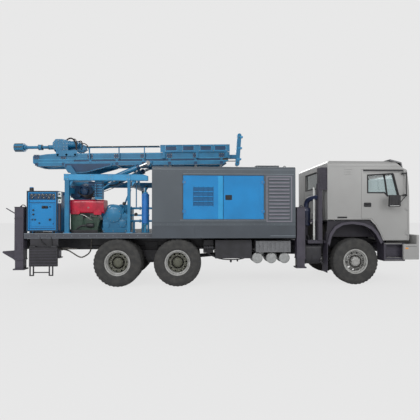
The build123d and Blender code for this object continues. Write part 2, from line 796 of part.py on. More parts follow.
def grown(outline, gap):
    """An outline pushed outward by a gap, corner by corner."""
    count = len(outline)
    area = sum(outline[i][0] * outline[(i + 1) % count][1]
               - outline[(i + 1) % count][0] * outline[i][1] for i in range(count))
    turn = 1 if area > 0 else -1
    out = []
    for i, (x, z) in enumerate(outline):
        ax, az = outline[i - 1]
        bx, bz = outline[(i + 1) % count]
        one, two = hypot(x - ax, z - az), hypot(bx - x, bz - z)
        n1 = ((z - az) / one * turn, -(x - ax) / one * turn)
        n2 = ((bz - z) / two * turn, -(bx - x) / two * turn)
        share = gap / (1 + n1[0] * n2[0] + n1[1] * n2[1])
        out.append((x + (n1[0] + n2[0]) * share, z + (n1[1] + n2[1]) * share))
    return out


liner_wall = 12
liner_front, liner_rear, liner_bottom = 660, -712, 300
arch_line = [(liner_front, step_top), (600, 1130), (520, 1270), (400, 1390), (200, 1480),
             (-100, 1521), (-350, 1490), (-520, 1400), (-640, 1230), (-700, 1000),
             (liner_rear, liner_bottom)]


def mudguards():
    """Arched liners over the front wheels, with a flap behind, hung from the frame."""
    y0, y1 = -1190, -870
    room = arch_line + [(liner_rear, 200), (liner_front, 200)]
    liner = prism_y(grown(room, liner_wall), y0, y1) - prism_y(room, y0 - 1, y1 + 1)
    liner -= block(liner_rear - 50, liner_front + 50, y0 - 1, y1 + 1, 100, liner_bottom)
    liner -= block(liner_front - 10, liner_front + 50, y0 - 1, y1 + 1, 100, step_top)
    liner += block(-764, liner_rear + 15, -1100, -rail_outer, 1010, 1060)
    return both(liner)


# Cab: one shell cut by its windows, doorways, footwells and engine tunnel
cab_side = [(cab_rear, arch_top), (cab_rear, cab_top - 60), (cab_rear + 60, cab_top),
            (950, cab_top), (1146, cab_top - 167), (1262, cab_top - 220), (1335, 2240),
            (cab_front, 1900), (cab_front, cab_lip), (cab_front - 60, cab_bottom),
            (660, cab_bottom), (590, 1250), (480, 1440), (350, arch_top)]
door_outline = [(135, 1600), (135, 2790), (1172, 2790), (1215, 2480), (1262, 2000),
                (1262, cab_bottom + 10), (690, cab_bottom + 10), (620, 1262), (505, 1466),
                (385, 1600)]
window_outline = [(286, 2225), (286, 2650), (905, 2690), (1045, 2150), (770, 2150), (700, 2225)]
door_hinge_x = 1262
door_hinge_y = cab_half + hinge_proud
door_hinge_heights = (1250, 1850)
screen_outline = [(-1040, 2030), (-1000, 2740), (1000, 2740), (1040, 2030)]
rear_window = (500, 2370, 2800)


def cab_shell():
    body = prism_y(cab_side, -cab_half, cab_half)
    plan = block(cab_rear - 1, cab_front, -cab_half, cab_half, cab_bottom - 1, cab_top + 1)
    body &= fillet(plan.edges().filter_by(Axis.Z).group_by(Axis.X)[-1], cab_corner)
    roof = block(cab_rear - 1, cab_front + 1, -cab_half, cab_half, cab_bottom - 1, cab_top)
    body &= fillet(roof.edges().filter_by(Axis.X).group_by(Axis.Z)[-1], roof_corner)
    # Room for the engine under the cab floor
    body -= block(cab_rear - 1, cab_front - cab_wall, -tunnel_half, tunnel_half,
                  cab_bottom - 10, tunnel_top)
    body -= block(cab_front - cab_wall - 1, cab_front + 1, -900, 900, cab_bottom - 10, cab_lip)
    # The cabin, and the two footwells in front of the arches
    floor = arch_top + 50
    room = [(cab_rear + cab_wall, floor), (cab_rear + cab_wall, cab_top - 110),
            (910, cab_top - 70), (1110, cab_top - 235), (1205, cab_top - 278), (1272, 2240),
            (cab_front - cab_wall - 5, 1930), (cab_front - cab_wall - 20, floor)]
    body -= prism_y(room, -cab_half + cab_wall, cab_half - cab_wall)
    well = [(740, cab_bottom + 60), (420, floor + 10), (cab_front - cab_wall - 20, floor + 10),
            (cab_front - cab_wall - 20, cab_bottom + 60)]
    for y0, y1 in ((-cab_half + cab_wall, -tunnel_half - 40), (tunnel_half + 40, cab_half - cab_wall)):
        body -= prism_y(well, y0, y1)
    # Doorways, windscreen and rear window
    doorway = grown(door_outline, door_gap)
    body -= prism_y(doorway, -cab_half - 1, -cab_half + cab_wall + 1)
    body -= prism_y(doorway, cab_half - cab_wall - 1, cab_half + 1)
    body -= prism_x(screen_outline, 1150, cab_front + 1)
    half, low, high = rear_window
    body -= block(cab_rear - 1, cab_rear + cab_wall + 1, -half, half, low, high)
    # Slots of the front grille
    for i in range(5):
        z = 1290 + 90 * i
        body -= block(cab_front - 25, cab_front + 1, -760, 760, z, z + 45)
    # Sun visor over the windscreen
    body += prism_y([(863, cab_top - 6), (863, cab_top + 34), (1139, cab_top - 38),
                     (1163, cab_top - 160), (1141, cab_top - 165), (1118, cab_top - 57),
                     (905, cab_top - 6)], -visor_half, visor_half)
    # Hinge ears of the doors and the arms that tilt the cab
    for side in (-1, 1):
        for ear in hinge_ears(door_hinge_x, side * door_hinge_y, side, door_hinge_heights, 26,
                              door_gap, 16):
            body += ear
        low, high = sorted((side * (tunnel_half + 10), side * (tunnel_half + 38)))
        arm = prism_y([(tilt_x - 165, cab_bottom + 1), (tilt_x - 165, tilt_z + 90),
                       (tilt_x - 90, tilt_z + 90), (tilt_x, tilt_z + 45),
                       (tilt_x + 40, tilt_z + 20), (tilt_x + 40, tilt_z - 20),
                       (tilt_x, tilt_z - 45), (tilt_x - 70, tilt_z - 35),
                       (tilt_x - 100, cab_bottom + 1)], low, high)
        arm -= pin((tilt_x, side * 400, tilt_z), (tilt_x, side * 600, tilt_z), tilt_pin + pin_gap)
        body += arm
    # The panels that the cab is welded from: sides, roof, floor, tunnel, footwells and ends
    inside = cab_half - cab_wall
    roof = cab_top - 110
    for side in (-1, 1):
        low, high = sorted((side * inside, side * (inside + seat_gap)))
        body -= block(cab_rear - 1, cab_front + 1, low, high, cab_bottom - 1, cab_top + 1)
        low, high = sorted((side * (tunnel_half + 40), side * (tunnel_half + 40 + seat_gap)))
        body -= block(cab_rear - 1, cab_front + 1, low, high, cab_bottom - 1, floor)
    reach = inside + seat_gap / 2
    body -= block(cab_rear - 1, cab_front + 1, -reach, reach, roof, roof + seat_gap)
    for x0, x1 in ((cab_rear - 1, cab_rear + cab_wall + 1), (cab_front - cab_wall - 100,
                                                              cab_front + 1)):
        body -= block(x0, x1, -reach, reach, floor, floor + seat_gap)
    middle = tunnel_half + 40 + seat_gap / 2
    body -= block(0, cab_front + 1, -middle, middle, tunnel_top - seat_gap, tunnel_top)
    return body


def cab_glass():
    """Windscreen between the pillars and the rear window, each a little inside its frame."""
    gap = seat_gap
    front = [(1262, cab_top - 220), (1335, 2240), (cab_front, 1900)]
    slab = prism_y([(x - 33, z) for x, z in front] + [(x - 39, z) for x, z in reversed(front)],
                   -1100, 1100)
    screen = slab & prism_x(grown(screen_outline, -gap), 1150, 1400)
    half, low, high = rear_window
    rear = block(cab_rear + 25, cab_rear + 31, -half + gap, half - gap, low + gap, high - gap)
    return [screen, rear]


def cab_interior():
    """Two seats, the bunk behind them, the dashboard and the steering wheel."""
    floor = arch_top + 50 + seat_gap
    pieces = []
    for y in (-640, 640):
        seat = block(80, 560, y - 250, y + 250, floor, floor + 300)
        back = prism_y([(80, floor + 299), (-60, floor + 950), (40, floor + 960),
                        (200, floor + 299)], y - 240, y + 240)
        pieces.append(seat + back)
    pieces.append(block(-630, -120, -1050, 1050, floor, floor + 320))
    dash = prism_y([(1000, floor), (960, floor + 330), (1220, floor + 330), (1240, floor)],
                   -1090, 1090)
    column = bar((1000, 640, floor + 250), (850, 640, floor + 420), 25)
    wheel = bar((858, 640, floor + 411), (842, 640, floor + 429), 230, 12)
    wheel -= bar((864, 640, floor + 404), (836, 640, floor + 436), 195, 12)
    spoke = bar((856, 435, floor + 414), (856, 845, floor + 414), 14, 6)
    pieces.append(dash + column + wheel + spoke)
    return pieces


def cab_door():
    """The right door: a thick frame with its window cut, and its hinge barrels."""
    leaf = prism_y(door_outline, -cab_half, -cab_half + cab_wall)
    leaf -= prism_y(window_outline, -cab_half - 1, -cab_half + cab_wall + 1)
    hollow = [(200, 1700), (200, 2100), (1180, 2100), (1190, 1150), (760, 1150), (690, 1320),
              (560, 1560), (420, 1700)]
    leaf -= prism_y(hollow, -cab_half + 25, -cab_half + cab_wall + 1)
    for barrel in hinge_barrels(door_hinge_x, -door_hinge_y, -1, door_hinge_heights, -50):
        leaf += barrel
    return leaf


def door_glass():
    return prism_y(grown(window_outline, -seat_gap), -cab_half + 24, -cab_half + 30)


def mirror_set():
    """Mirror housing folded along the right door, on arms from an upright tube."""
    post_x, post_y_out = 1210, -cab_half - 60
    head = prism_y([(700, 1905), (715, 2160), (955, 2160), (975, 2140), (975, 1900), (940, 1880),
                    (725, 1880)], -1400, -1345)
    face = -cab_half - seat_gap
    post = bar((post_x, post_y_out, 2140), (post_x, post_y_out, 2730), 12)
    for z, inner in ((2165, 1150), (2690, 1120)):
        post += block(inner, inner + 30, post_y_out - 8, face, z - 20, z + 20)
        post += block(inner, post_x + 8, post_y_out - 8, post_y_out + 8, z - 20, z + 20)
    post += bar((post_x, post_y_out, 2190), (950, -1370, 2130), 10)
    post += bar((post_x, post_y_out, 2160), (950, -1370, 1950), 10)
    return [head + post]


# Steering knuckle: a fork about the axle's end, its kingpin and the wheel's stub
def knuckle(side):
    low, high = sorted((side * (kingpin_y - 50), side * (kingpin_y + 100)))
    lower = block(-50, 50, low, high, 430, 520 - seat_gap)
    upper = block(-50, 50, low, high, 605, 690)
    low, high = sorted((side * (kingpin_y + 72), side * (kingpin_y + 100)))
    plate = block(-50, 50, low, high, 430, 690)
    king = pin((0, side * kingpin_y, 440), (0, side * kingpin_y, 680), kingpin_radius)
    stub = pin((0, side * (kingpin_y + 99), tyre_radius),
               (0, side * (kingpin_y + kingpin_inset + 69), tyre_radius), spindle_radius)
    arm = block(-240, -49, *sorted((side * (kingpin_y - 45), side * (kingpin_y - 5))), 455, 495)
    return lower + upper + plate + king + stub + arm


def tyre_ring(middle):
    """Tyre and rim of one wheel: (radius, outward) points about its middle plane."""
    half, tread, rim = tyre_width / 2, tread_width / 2, rim_width / 2
    bore = rim_radius - rim_wall
    bulge = (tyre_radius + rim_radius) / 2
    return [(bore, middle - rim), (bulge, middle - half), (tyre_radius, middle - tread),
            (tyre_radius, middle + tread), (bulge, middle + half), (bore, middle + rim)]


def front_wheel(side):
    y = side * front_track / 2
    bore = rim_radius - rim_wall
    disc = [(0, 150), (85, 148), (105, 100), (bore - 80, 92), (bore + 2, 60), (bore + 2, 40),
            (bore - 84, 72), (hub_radius, 78), (hub_radius, -50), (0, -50)]
    wheel = banded(tyre_ring(0), 0, y, side, tyre_flats) + banded(disc, 0, y, side, disc_flats)
    wheel -= pin((0, y - side * 51, tyre_radius), (0, y + side * 79, tyre_radius),
                 spindle_radius + pin_gap)
    return wheel


def twin_wheel(x, side):
    y = side * rear_track / 2
    half = twin_spacing / 2
    bore = rim_radius - rim_wall
    inner = clear - half - 70
    disc = [(0, 195), (90, 195), (hub_radius, 170), (hub_radius + 10, 55), (150, 14),
            (bore - 30, 14), (bore + 2, 56), (bore + 2, -56), (bore - 30, -12),
            (drum_radius, -13), (drum_radius, inner), (0, inner)]
    wheel = (banded(tyre_ring(half), x, y, side, tyre_flats)
             + banded(tyre_ring(-half), x, y, side, tyre_flats)
             + banded(disc, x, y, side, disc_flats))
    wheel -= pin((x, y + side * (inner - 1), tyre_radius), (x, y - side * 11, tyre_radius),
                 spindle_radius + pin_gap)
    return wheel


# Mast: two boxed side chords, tied and braced across, with a crown. Drawn level.
def mast_frame():
    frame = None
    for side in (-1, 1):
        low, high = sorted((side * (mast_outer - mast_side), side * mast_outer))
        truss = prism_y([(mast_foot, chord_bottom), (mast_foot, chord_top - 63),
                         (mast_foot + 347, chord_top - 13), (mast_foot + 560, chord_top),
                         (mast_crown, chord_top), (mast_crown, chord_bottom)], low, high)
        truss += prism_y([(mast_foot + 123, lower_chord_bottom),
                          (mast_foot, lower_chord_bottom + 77), (mast_foot, lower_chord_top),
                          (mast_crown - 24, lower_chord_top),
                          (mast_crown - 181, lower_chord_bottom)], low, high)
        web_low, web_high = sorted((side * (mast_outer - 16), side * mast_outer))
        truss += block(mast_foot, foot_plate_front, web_low, web_high, lower_chord_top - 1,
                       chord_bottom + 1)
        frame = truss if frame is None else frame + truss
    # Uprights between the chords, ties across, and plan braces that cross from bay to bay
    inside = mast_outer - mast_side + 1
    first, last = mast_foot + 60, mast_crown - 245
    step = (last - first) / mast_bays
    for i in range(mast_bays + 1):
        x = first + step * i
        frame += block(x, x + 60, -inside, inside, chord_bottom + 10, chord_bottom + 60)
        frame += block(x, x + 60, -inside, inside, lower_chord_bottom, lower_chord_bottom + 50)
        for side in (-1, 1):
            low, high = sorted((side * (inside - 1), side * mast_outer))
            frame += block(x, x + 60, low, high, lower_chord_top - 1, chord_bottom + 1)
        if i < mast_bays:
            turn = 1 if i % 2 else -1
            run = [(x + 20, -turn * inside), (x + 60, -turn * inside),
                   (x + step + 40, turn * inside), (x + step, turn * inside)]
            frame += prism_z(run, lower_chord_bottom + 10, lower_chord_bottom + 30)
    # Gussets that hang on the gantry's pivot pins
    join = lower_chord_bottom + 60
    gusset = prism_y([(pivot_x - 155, join), (pivot_x - 155, pivot_z + 52),
                      (pivot_x - 54, pivot_z - 113), (pivot_x + 400, pivot_z - 113),
                      (pivot_x + 1058, pivot_z + 61), (pivot_x + 1058, join)],
                     mast_outer, mast_outer + gusset_wall)
    gusset += bar((pivot_x, mast_outer + 1, pivot_z), (pivot_x, ear_inside - clear, pivot_z), 62, 12)
    gusset -= pin((pivot_x, 0, pivot_z), (pivot_x, 600, pivot_z), pivot_pin + pin_gap)
    # Side plates of the crown, outside the rotary head's guides, on brackets from the chords
    guide_out = mast_outer + clear + guide_wall
    plate_in, plate_out = guide_out + clear + 2, guide_out + clear + 25
    plate = block(crown_box_rear, mast_crown, plate_in, plate_out, chord_top + 8, crown_box_top)
    for x in (-4500, -4050, -3600, -3220):
        plate -= block(x - 140, x + 140, plate_in - 1, plate_out + 1, chord_top + 45,
                       crown_box_top - 35)
    bracket = [(mast_outer - 1, chord_bottom + 5), (mast_outer - 1, chord_bottom + 60),
               (plate_in, chord_bottom + 60), (plate_in, chord_top + 9),
               (plate_out, chord_top + 9), (plate_out, chord_bottom + 5)]
    for x in (-4720, -3860, -3090):
        plate += prism_x(bracket, x, x + 60)
    # Lugs for the raising cylinders
    eye_x, eye_z = cylinder_eye
    lug = prism_y([(eye_x - 110, lower_chord_top), (eye_x - 60, eye_z - 70),
                   (eye_x + 60, eye_z - 70), (eye_x + 110, lower_chord_top)],
                  mast_outer, mast_outer + 40)
    for piece in both(gusset) + both(plate) + both(lug):
        frame += piece
    # Hose rail along the right side
    rail_y = (plate_in + plate_out) / 2
    frame += bar((head_front + 60, -rail_y, hose_rail_z), (crown_box_rear + 10, -rail_y,
                 hose_rail_z), 12)
    hook = [(-mast_outer + 1, chord_bottom + 15), (-mast_outer + 1, chord_bottom + 55),
            (-rail_y + 9, chord_bottom + 55), (-rail_y + 9, hose_rail_z), (-rail_y - 9, hose_rail_z),
            (-rail_y - 9, chord_bottom + 15)]
    for x in (-6600, -5850, -5200):
        frame += prism_x(hook, x, x + 30)
    # Crown bar that carries the hoist sheaves' arm
    frame += block(mast_crown - 60, mast_crown, -inside, inside, chord_bottom + 20, chord_top - 30)
    frame += block(mast_crown - 2, -2700, -60, 60, chord_bottom + 30, chord_top - 30)
    foot, head = (-2740, lower_chord_bottom + 45), (-2672, chord_top + 490)
    frame += brace(foot, head, -65, 65, 55)
    frame += bar((foot[0], -65, foot[1]), (foot[0], 65, foot[1]), 58, 12)
    frame += bar((head[0], -65, head[1]), (head[0], 65, head[1]), 58, 12)
    return lay_down(frame)


def rotary_head():
    """Carriage guided by the mast's chords, with the gearbox, two motors and their cover."""
    base = chord_top + seat_gap
    deck_z = base + carriage_depth
    guide_in = mast_outer + clear
    guide_out = guide_in + guide_wall
    head = block(carriage_rear, carriage_front, -guide_out, guide_out, base, deck_z)
    for side in (-1, 1):
        low, high = sorted((side * guide_in, side * guide_out))
        head += block(carriage_rear, carriage_front, low, high, chord_top - 73, base + 1)
    gear_front = head_rear + 393
    head += prism_y([(head_rear, spindle_z - 55), (head_rear, spindle_z + 83),
                     (head_rear + 78, spindle_z + 180), (head_rear + 235, spindle_z + 180),
                     (gear_front, spindle_z + 147), (gear_front, deck_z - 1),
                     (head_rear + 143, deck_z - 1)], -190, 190)
    for y in (-110, 110):
        head += bar((gear_front - 1, y, spindle_z + 50), (head_rear + 640, y, spindle_z + 50), 85, 12)
    head += prism_y([(gear_front - 1, deck_z - 1), (gear_front - 1, spindle_z + 146),
                     (gear_front + 118, spindle_z + 152), (head_front, spindle_z + 12),
                     (head_front, spindle_z - 84), (head_front - 104, deck_z - 1)], -45, 45)
    head -= pin((head_rear - 1, 0, spindle_z), (head_rear + 80, 0, spindle_z),
                spindle_neck + pin_gap)
    return lay_down(head)


def spindle():
    """Output shaft, its coupling, the collar and the bit, on one axis."""
    lean = radians(travel_lean)
    string_end = pivot_x - (tail_reach + pivot_x
                            - (spindle_z + bit_radius - pivot_z) * sin(lean)) / cos(lean)

    def turned(x0, x1, radius):
        return bar((x0, 0, spindle_z), (x1, 0, spindle_z), radius, 12)

    string = turned(string_end, string_end + bit_length, bit_radius)
    string += turned(string_end + bit_length - 1, string_end + bit_length + 54, 70)
    string += turned(string_end + bit_length, head_rear - 39, spindle_rod_radius)
    string += turned(-8017, -7926, collar_radius) + turned(-7760, -7640, 60)
    string += pin((head_rear - 40, 0, spindle_z), (head_rear + 78, 0, spindle_z), spindle_neck)
    return lay_down(string)


# Raising cylinder: the barrel turns on its foot, the rod slides out of it
travel_eye = leaned(*cylinder_eye)
closed_run = (travel_eye[0] - cylinder_base[0], travel_eye[1] - cylinder_base[1])
closed_length = hypot(*closed_run)
closed_angle = degrees(atan2(closed_run[1], closed_run[0]))
raised_eye = (pivot_x - (cylinder_eye[1] - pivot_z), pivot_z + (cylinder_eye[0] - pivot_x))
open_run = (raised_eye[0] - cylinder_base[0], raised_eye[1] - cylinder_base[1])
open_length = hypot(*open_run)
open_angle = degrees(atan2(open_run[1], open_run[0]))
along = (closed_run[0] / closed_length, closed_run[1] / closed_length)


def on_cylinder(distance, y):
    """A point on the cylinder's centre line, at a distance from its foot pin."""
    return (cylinder_base[0] + along[0] * distance, y, cylinder_base[1] + along[1] * distance)


def cylinder_barrel(side):
    y = side * cylinder_y
    foot_x, foot_z = cylinder_base
    barrel = bar(on_cylinder(130, y), on_cylinder(barrel_length, y), barrel_radius, 16)
    eye = bar((foot_x, y - 34, foot_z), (foot_x, y + 34, foot_z), 60, 12)
    eye += bar(on_cylinder(20, y), on_cylinder(131, y), 33)
    barrel += eye
    barrel -= pin(on_cylinder(180, y), on_cylinder(barrel_length + 1, y), rod_radius + pin_gap)
    barrel -= pin((foot_x, y - 60, foot_z), (foot_x, y + 60, foot_z), foot_pin + pin_gap)
    return barrel


def cylinder_rod(side):
    y = side * cylinder_y
    rod = pin(on_cylinder(200, y), on_cylinder(closed_length - 30, y), rod_radius)
    eye_x, eye_z = travel_eye
    eye = bar((eye_x, y - eye_half, eye_z), (eye_x, y + eye_half, eye_z), eye_radius, 12)
    pivot = bar((eye_x, y - side * 60, eye_z), (eye_x, y + side * (eye_half + 8), eye_z), eye_pin)
    return rod + eye + pivot


def operator_platform():
    """Ribbed tread plate, folded down beside the deck, with two rungs below it."""
    y0, y1 = platform_hinge_y - 15, platform_hinge_y + 25
    top = platform_hinge_z - 18
    bottom = top - platform_height
    plate = block(platform_rear, platform_front, y0, y1, bottom, top)
    for i in range(platform_ribs):
        z = bottom + 30 + 68 * i
        plate -= block(platform_rear + 20, platform_front - 20, y0 - 1, y0 + 8, z, z + 40)
    for x in (platform_rear + 40, platform_front - 110):
        barrel = bar((x, platform_hinge_y, platform_hinge_z), (x + 70, platform_hinge_y,
                     platform_hinge_z), 14)
        plate += barrel + block(x, x + 70, platform_hinge_y - 6, platform_hinge_y + 6, top - 1,
                                platform_hinge_z)
    for x in rung_starts:
        for run in (12, rung_width - 12):
            plate += block(x + run - 12, x + run + 12, platform_hinge_y - 12,
                           platform_hinge_y + 12, bottom - rung_drop, bottom + 10)
        plate += block(x + 1, x + rung_width - 1, platform_hinge_y - 11, platform_hinge_y + 11,
                       bottom - rung_drop, bottom - rung_drop + 24)
    plate += block(rung_starts[0] + rung_width - 13, rung_starts[1] + 13, platform_hinge_y - 11,
                   platform_hinge_y + 11, bottom - rung_drop + 70, bottom - rung_drop + 92)
    return plate


def platform_carrier():
    """Bracket under the deck's edge with the ears of the platform's hinge."""
    ears = None
    for x in (platform_rear + 40, platform_front - 110):
        for x0, x1 in ((x - 30, x - seat_gap), (x + 70 + seat_gap, x + 100)):
            ear = bar((x0, platform_hinge_y, platform_hinge_z), (x1, platform_hinge_y,
                      platform_hinge_z), 14)
            ear += block(x0, x1, platform_hinge_y, -1180, platform_hinge_z - 12,
                         platform_hinge_z + 12)
            ears = ear if ears is None else ears + ear
    ears += block(platform_rear, platform_front, -1190, -1170, platform_hinge_z - 12,
                  deck_bottom)
    return ears


# Nodes with one call each
save("chassis_frame", chassis_frame())
save("axle_housings", *axle_housings())
save("leaf_springs", *leaf_springs())
save("driveline", *driveline())
save("truck_engine", *truck_engine())
save("deck", deck())
save("platform_carrier", platform_carrier())
save("canopy_shell", canopy_shell())
save("canopy_grilles", *canopy_grilles())
save("compressor_set", *compressor_set())
save("gantry", gantry())
save("mud_pump", *mud_pump())
save("service_engine", *service_engine())
save("line_oiler", *line_oiler())
save("hydraulic_tank", *hydraulic_tank())
save("control_cabinet", *control_cabinet())
save("jack_sleeves", *jack_sleeves())
save("bumper", bumper())
save("cab_steps", *cab_steps())
save("fuel_tank", *fuel_tank())
save("air_tanks", *air_tanks())
save("battery_box", *battery_box())
save("tool_boxes", *tool_boxes())
save("intake_stack", *intake_stack())
save("mudguards", *mudguards())
save("cab_shell", cab_shell())
save("cab_glass", *cab_glass())
save("cab_interior", *cab_interior())
save("mast_frame", mast_frame())
save("rotary_head", rotary_head())
save("spindle", spindle())
save("operator_platform", operator_platform())

right_door, right_glass, right_mirror = cab_door(), door_glass(), mirror_set()
save("cab_door_right", right_door)
save("cab_door_left", other_side(right_door))
save("door_glass_right", right_glass)
save("door_glass_left", other_side(right_glass))
save("mirror_right", *right_mirror)
save("mirror_left", *[other_side(piece) for piece in right_mirror])

for leaf_name, is_front in (("rear", False), ("front", True)):
    leaf = canopy_door(is_front)
    save(f"canopy_door_right_{leaf_name}", leaf)
    save(f"canopy_door_left_{leaf_name}", other_side(leaf))

for side_name, side in (("right", -1), ("left", 1)):
    save(f"knuckle_{side_name}", knuckle(side))
    save(f"wheel_front_{side_name}", front_wheel(side))
    save(f"wheel_middle_{side_name}", twin_wheel(middle_axle, side))
    save(f"wheel_rear_{side_name}", twin_wheel(rear_axle, side))
    save(f"cylinder_barrel_{side_name}", cylinder_barrel(side))
    save(f"cylinder_rod_{side_name}", cylinder_rod(side))

for row, x in jack_rows:
    leg = jack_leg(x)
    save(f"jack_leg_{row}_right", leg)
    save(f"jack_leg_{row}_left", other_side(leg))

print("cylinder closed and open length", round(closed_length), round(open_length))
print("cylinder closed and open angle", round(closed_angle, 2), round(open_angle, 2))
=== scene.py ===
# %% [markdown]
# # A truck mounted water well drilling rig
# The real machine is a 6x4 truck with a drilling rig built on its chassis. It drives to a site,
# stands on four jacks, raises its mast and drills with compressed air. The solids come from a CAD
# part, packed with its joints. This script adds what makes them look real: paint, rubber, glass,
# nuts, pipes, gauges and lamps.

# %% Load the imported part
from math import cos, pi, radians, sin

import bmesh
import bpy
from mathutils import Matrix, Vector


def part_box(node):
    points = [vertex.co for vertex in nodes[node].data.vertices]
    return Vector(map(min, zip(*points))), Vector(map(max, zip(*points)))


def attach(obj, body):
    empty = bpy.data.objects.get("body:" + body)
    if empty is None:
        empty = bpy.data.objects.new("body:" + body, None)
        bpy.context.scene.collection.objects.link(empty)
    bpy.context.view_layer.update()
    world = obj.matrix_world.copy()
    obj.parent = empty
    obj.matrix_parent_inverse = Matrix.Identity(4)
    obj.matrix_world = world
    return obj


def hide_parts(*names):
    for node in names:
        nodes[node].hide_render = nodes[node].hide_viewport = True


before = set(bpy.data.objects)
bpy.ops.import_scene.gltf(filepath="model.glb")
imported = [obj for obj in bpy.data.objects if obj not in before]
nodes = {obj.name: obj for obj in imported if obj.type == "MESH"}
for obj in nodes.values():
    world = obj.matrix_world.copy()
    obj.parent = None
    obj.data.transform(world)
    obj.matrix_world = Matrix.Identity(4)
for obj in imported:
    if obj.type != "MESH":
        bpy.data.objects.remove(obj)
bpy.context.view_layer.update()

# %% [markdown]
# Workshop drawings of a truck are measured from its front axle, so every place below is too.
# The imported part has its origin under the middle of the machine. One helper turns a place in
# millimetres from the front axle into the part's metres, so no other cell adds an offset.

# %% Places are millimetres from the front axle
wheel_low, wheel_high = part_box("wheel_front_right")
axle_x = (wheel_low.x + wheel_high.x) / 2
tyre_radius = 560
axle_z = tyre_radius
front_track, rear_track, twin_spacing = 2022, 1830, 330
middle_axle, rear_axle = -4300, -5700


def at(x, y, z):
    """A place in the part's metres, from millimetres ahead of the front axle, left and up."""
    return Vector((x / 1000 + axle_x, y / 1000, z / 1000))


print("front axle at", round(axle_x, 4))

# %% [markdown]
# A material is a small graph of nodes. Writing each node by hand takes five lines, so one function
# adds a node of any kind: its settings are its own properties, and each input is either a value or
# another node's output. Colours are written as the sRGB hex codes that a paint chart gives.
# Blender shades in linear light, so one function turns a code into linear numbers.

# %% Colours and nodes
def linear(code):
    """The linear colour of an sRGB hex code such as #2f7fa8."""
    parts = [int(code[i:i + 2], 16) / 255 for i in (1, 3, 5)]
    return tuple(p / 12.92 if p <= 0.04045 else ((p + 0.055) / 1.055) ** 2.4 for p in parts) + (1,)


def add_node(tree, kind, settings=None, inputs=None):
    """Add a node; inputs maps a socket's name or number to a value or another node's output."""
    node = tree.nodes.new(kind)
    for name, value in (settings or {}).items():
        setattr(node, name, value)
    for name, value in (inputs or {}).items():
        if isinstance(value, bpy.types.NodeSocket):
            tree.links.new(value, node.inputs[name])
        else:
            node.inputs[name].default_value = value
    return node


def start_material(name, **sockets):
    """A new material with one Principled shader, whose plain values are set by socket name."""
    material = bpy.data.materials.new(name)
    material.use_nodes = True
    tree = material.node_tree
    tree.nodes.clear()
    shader = add_node(tree, "ShaderNodeBsdfPrincipled", inputs=sockets)
    add_node(tree, "ShaderNodeOutputMaterial", inputs={"Surface": shader.outputs[0]})
    return material, tree, shader


def noise(tree, size_mm, detail=3.0, stretch=(1, 1, 1)):
    """A noise whose blotches are about size_mm across on the object."""
    place = add_node(tree, "ShaderNodeTexCoord")
    stretched = add_node(tree, "ShaderNodeMapping", inputs={"Vector": place.outputs["Object"],
                                                            "Scale": stretch})
    return add_node(tree, "ShaderNodeTexNoise", inputs={
        "Vector": stretched.outputs[0], "Scale": 1000 / size_mm, "Detail": detail}).outputs["Fac"]


def between(tree, factor, low, high, first, second):
    """Blend two colours as the factor goes from low to high."""
    steps = add_node(tree, "ShaderNodeMapRange", inputs={
        "Value": factor, "From Min": low, "From Max": high})
    return add_node(tree, "ShaderNodeMix", {"data_type": "RGBA"}, {
        0: steps.outputs[0], 6: first, 7: second}).outputs[2]


def bump(tree, shader, height, depth_mm):
    """Lift the surface by a pattern, by up to depth_mm."""
    relief = add_node(tree, "ShaderNodeBump", inputs={
        "Strength": 1.0, "Distance": depth_mm / 1000, "Height": height})
    tree.links.new(relief.outputs[0], shader.inputs["Normal"])


print("dark blue in linear", [round(c, 3) for c in linear("#1f6f9f")])

# %% [markdown]
# Almost every panel is two-pack enamel sprayed on steel. It dries with a faint orange peel, a few
# millimetres from bump to bump, and road dust dulls it in patches of some decimetres. A clear coat
# gives the sharp highlight on top. The blue mast and deck gear were painted by hand and stay less
# even than the truck's factory finish.

# %% Sprayed enamel
PEEL_MM = 9          # real peel is nearer 2 mm, drawn coarser so that it shows


def enamel(name, code, shade, roughness=0.38, coat=0.3, patch_mm=420, peel_depth=0.05):
    """Sprayed paint of one colour, with a dustier shade in soft patches and orange peel."""
    material, tree, shader = start_material(name, Roughness=roughness, IOR=1.5, **{
        "Coat Weight": coat, "Coat Roughness": 0.12})
    colour = between(tree, noise(tree, patch_mm), 0.35, 0.75, linear(code), linear(shade))
    specks = noise(tree, 30, 4.0)
    colour = between(tree, specks, 0.68, 0.82, colour, linear(shade))
    tree.links.new(colour, shader.inputs["Base Color"])
    bump(tree, shader, noise(tree, PEEL_MM, 1.0), peel_depth)
    return material


rig_blue = enamel("mast_blue_enamel", "#1d78a4", "#17658c", 0.42, 0.25, 260)
deep_blue = enamel("deep_blue_enamel", "#0f4068", "#0d3554", 0.45, 0.2, 200)
pale_blue = enamel("pale_blue_enamel", "#49a6cf", "#3a8fb8", 0.4, 0.3, 200)
panel_blue = enamel("panel_blue_enamel", "#0e86c8", "#0c79b6", 0.33, 0.4, 600)
canopy_grey = enamel("canopy_grey_enamel", "#525a61", "#4b5259", 0.42, 0.25, 700)
cab_silver = enamel("cab_silver_enamel", "#9f9f9e", "#969695", 0.38, 0.25, 900, 0.03)
chassis_black = enamel("chassis_black_enamel", "#26262a", "#35343a", 0.5, 0.1, 200)
jack_grey = enamel("jack_grey_enamel", "#45414d", "#3a3741", 0.48, 0.15, 260)
deck_grey = enamel("deck_grey_enamel", "#4c5058", "#45474d", 0.5, 0.1, 300)
engine_red = enamel("engine_red_enamel", "#c10c34", "#8f0a2a", 0.35, 0.4, 160)
engine_green = enamel("engine_green_enamel", "#2f4a3c", "#26382f", 0.5, 0.1, 120)
wheel_silver = enamel("wheel_silver_enamel", "#a9a9a7", "#8c8c89", 0.4, 0.2, 90)
# The twin discs' paint is the hubs' olive painted lighter, as painted light in their deep shaded dish
disc_olive_painted_light = enamel("disc_olive_painted_light_enamel", "#96978a", "#828375", 0.5, 0.1, 90)
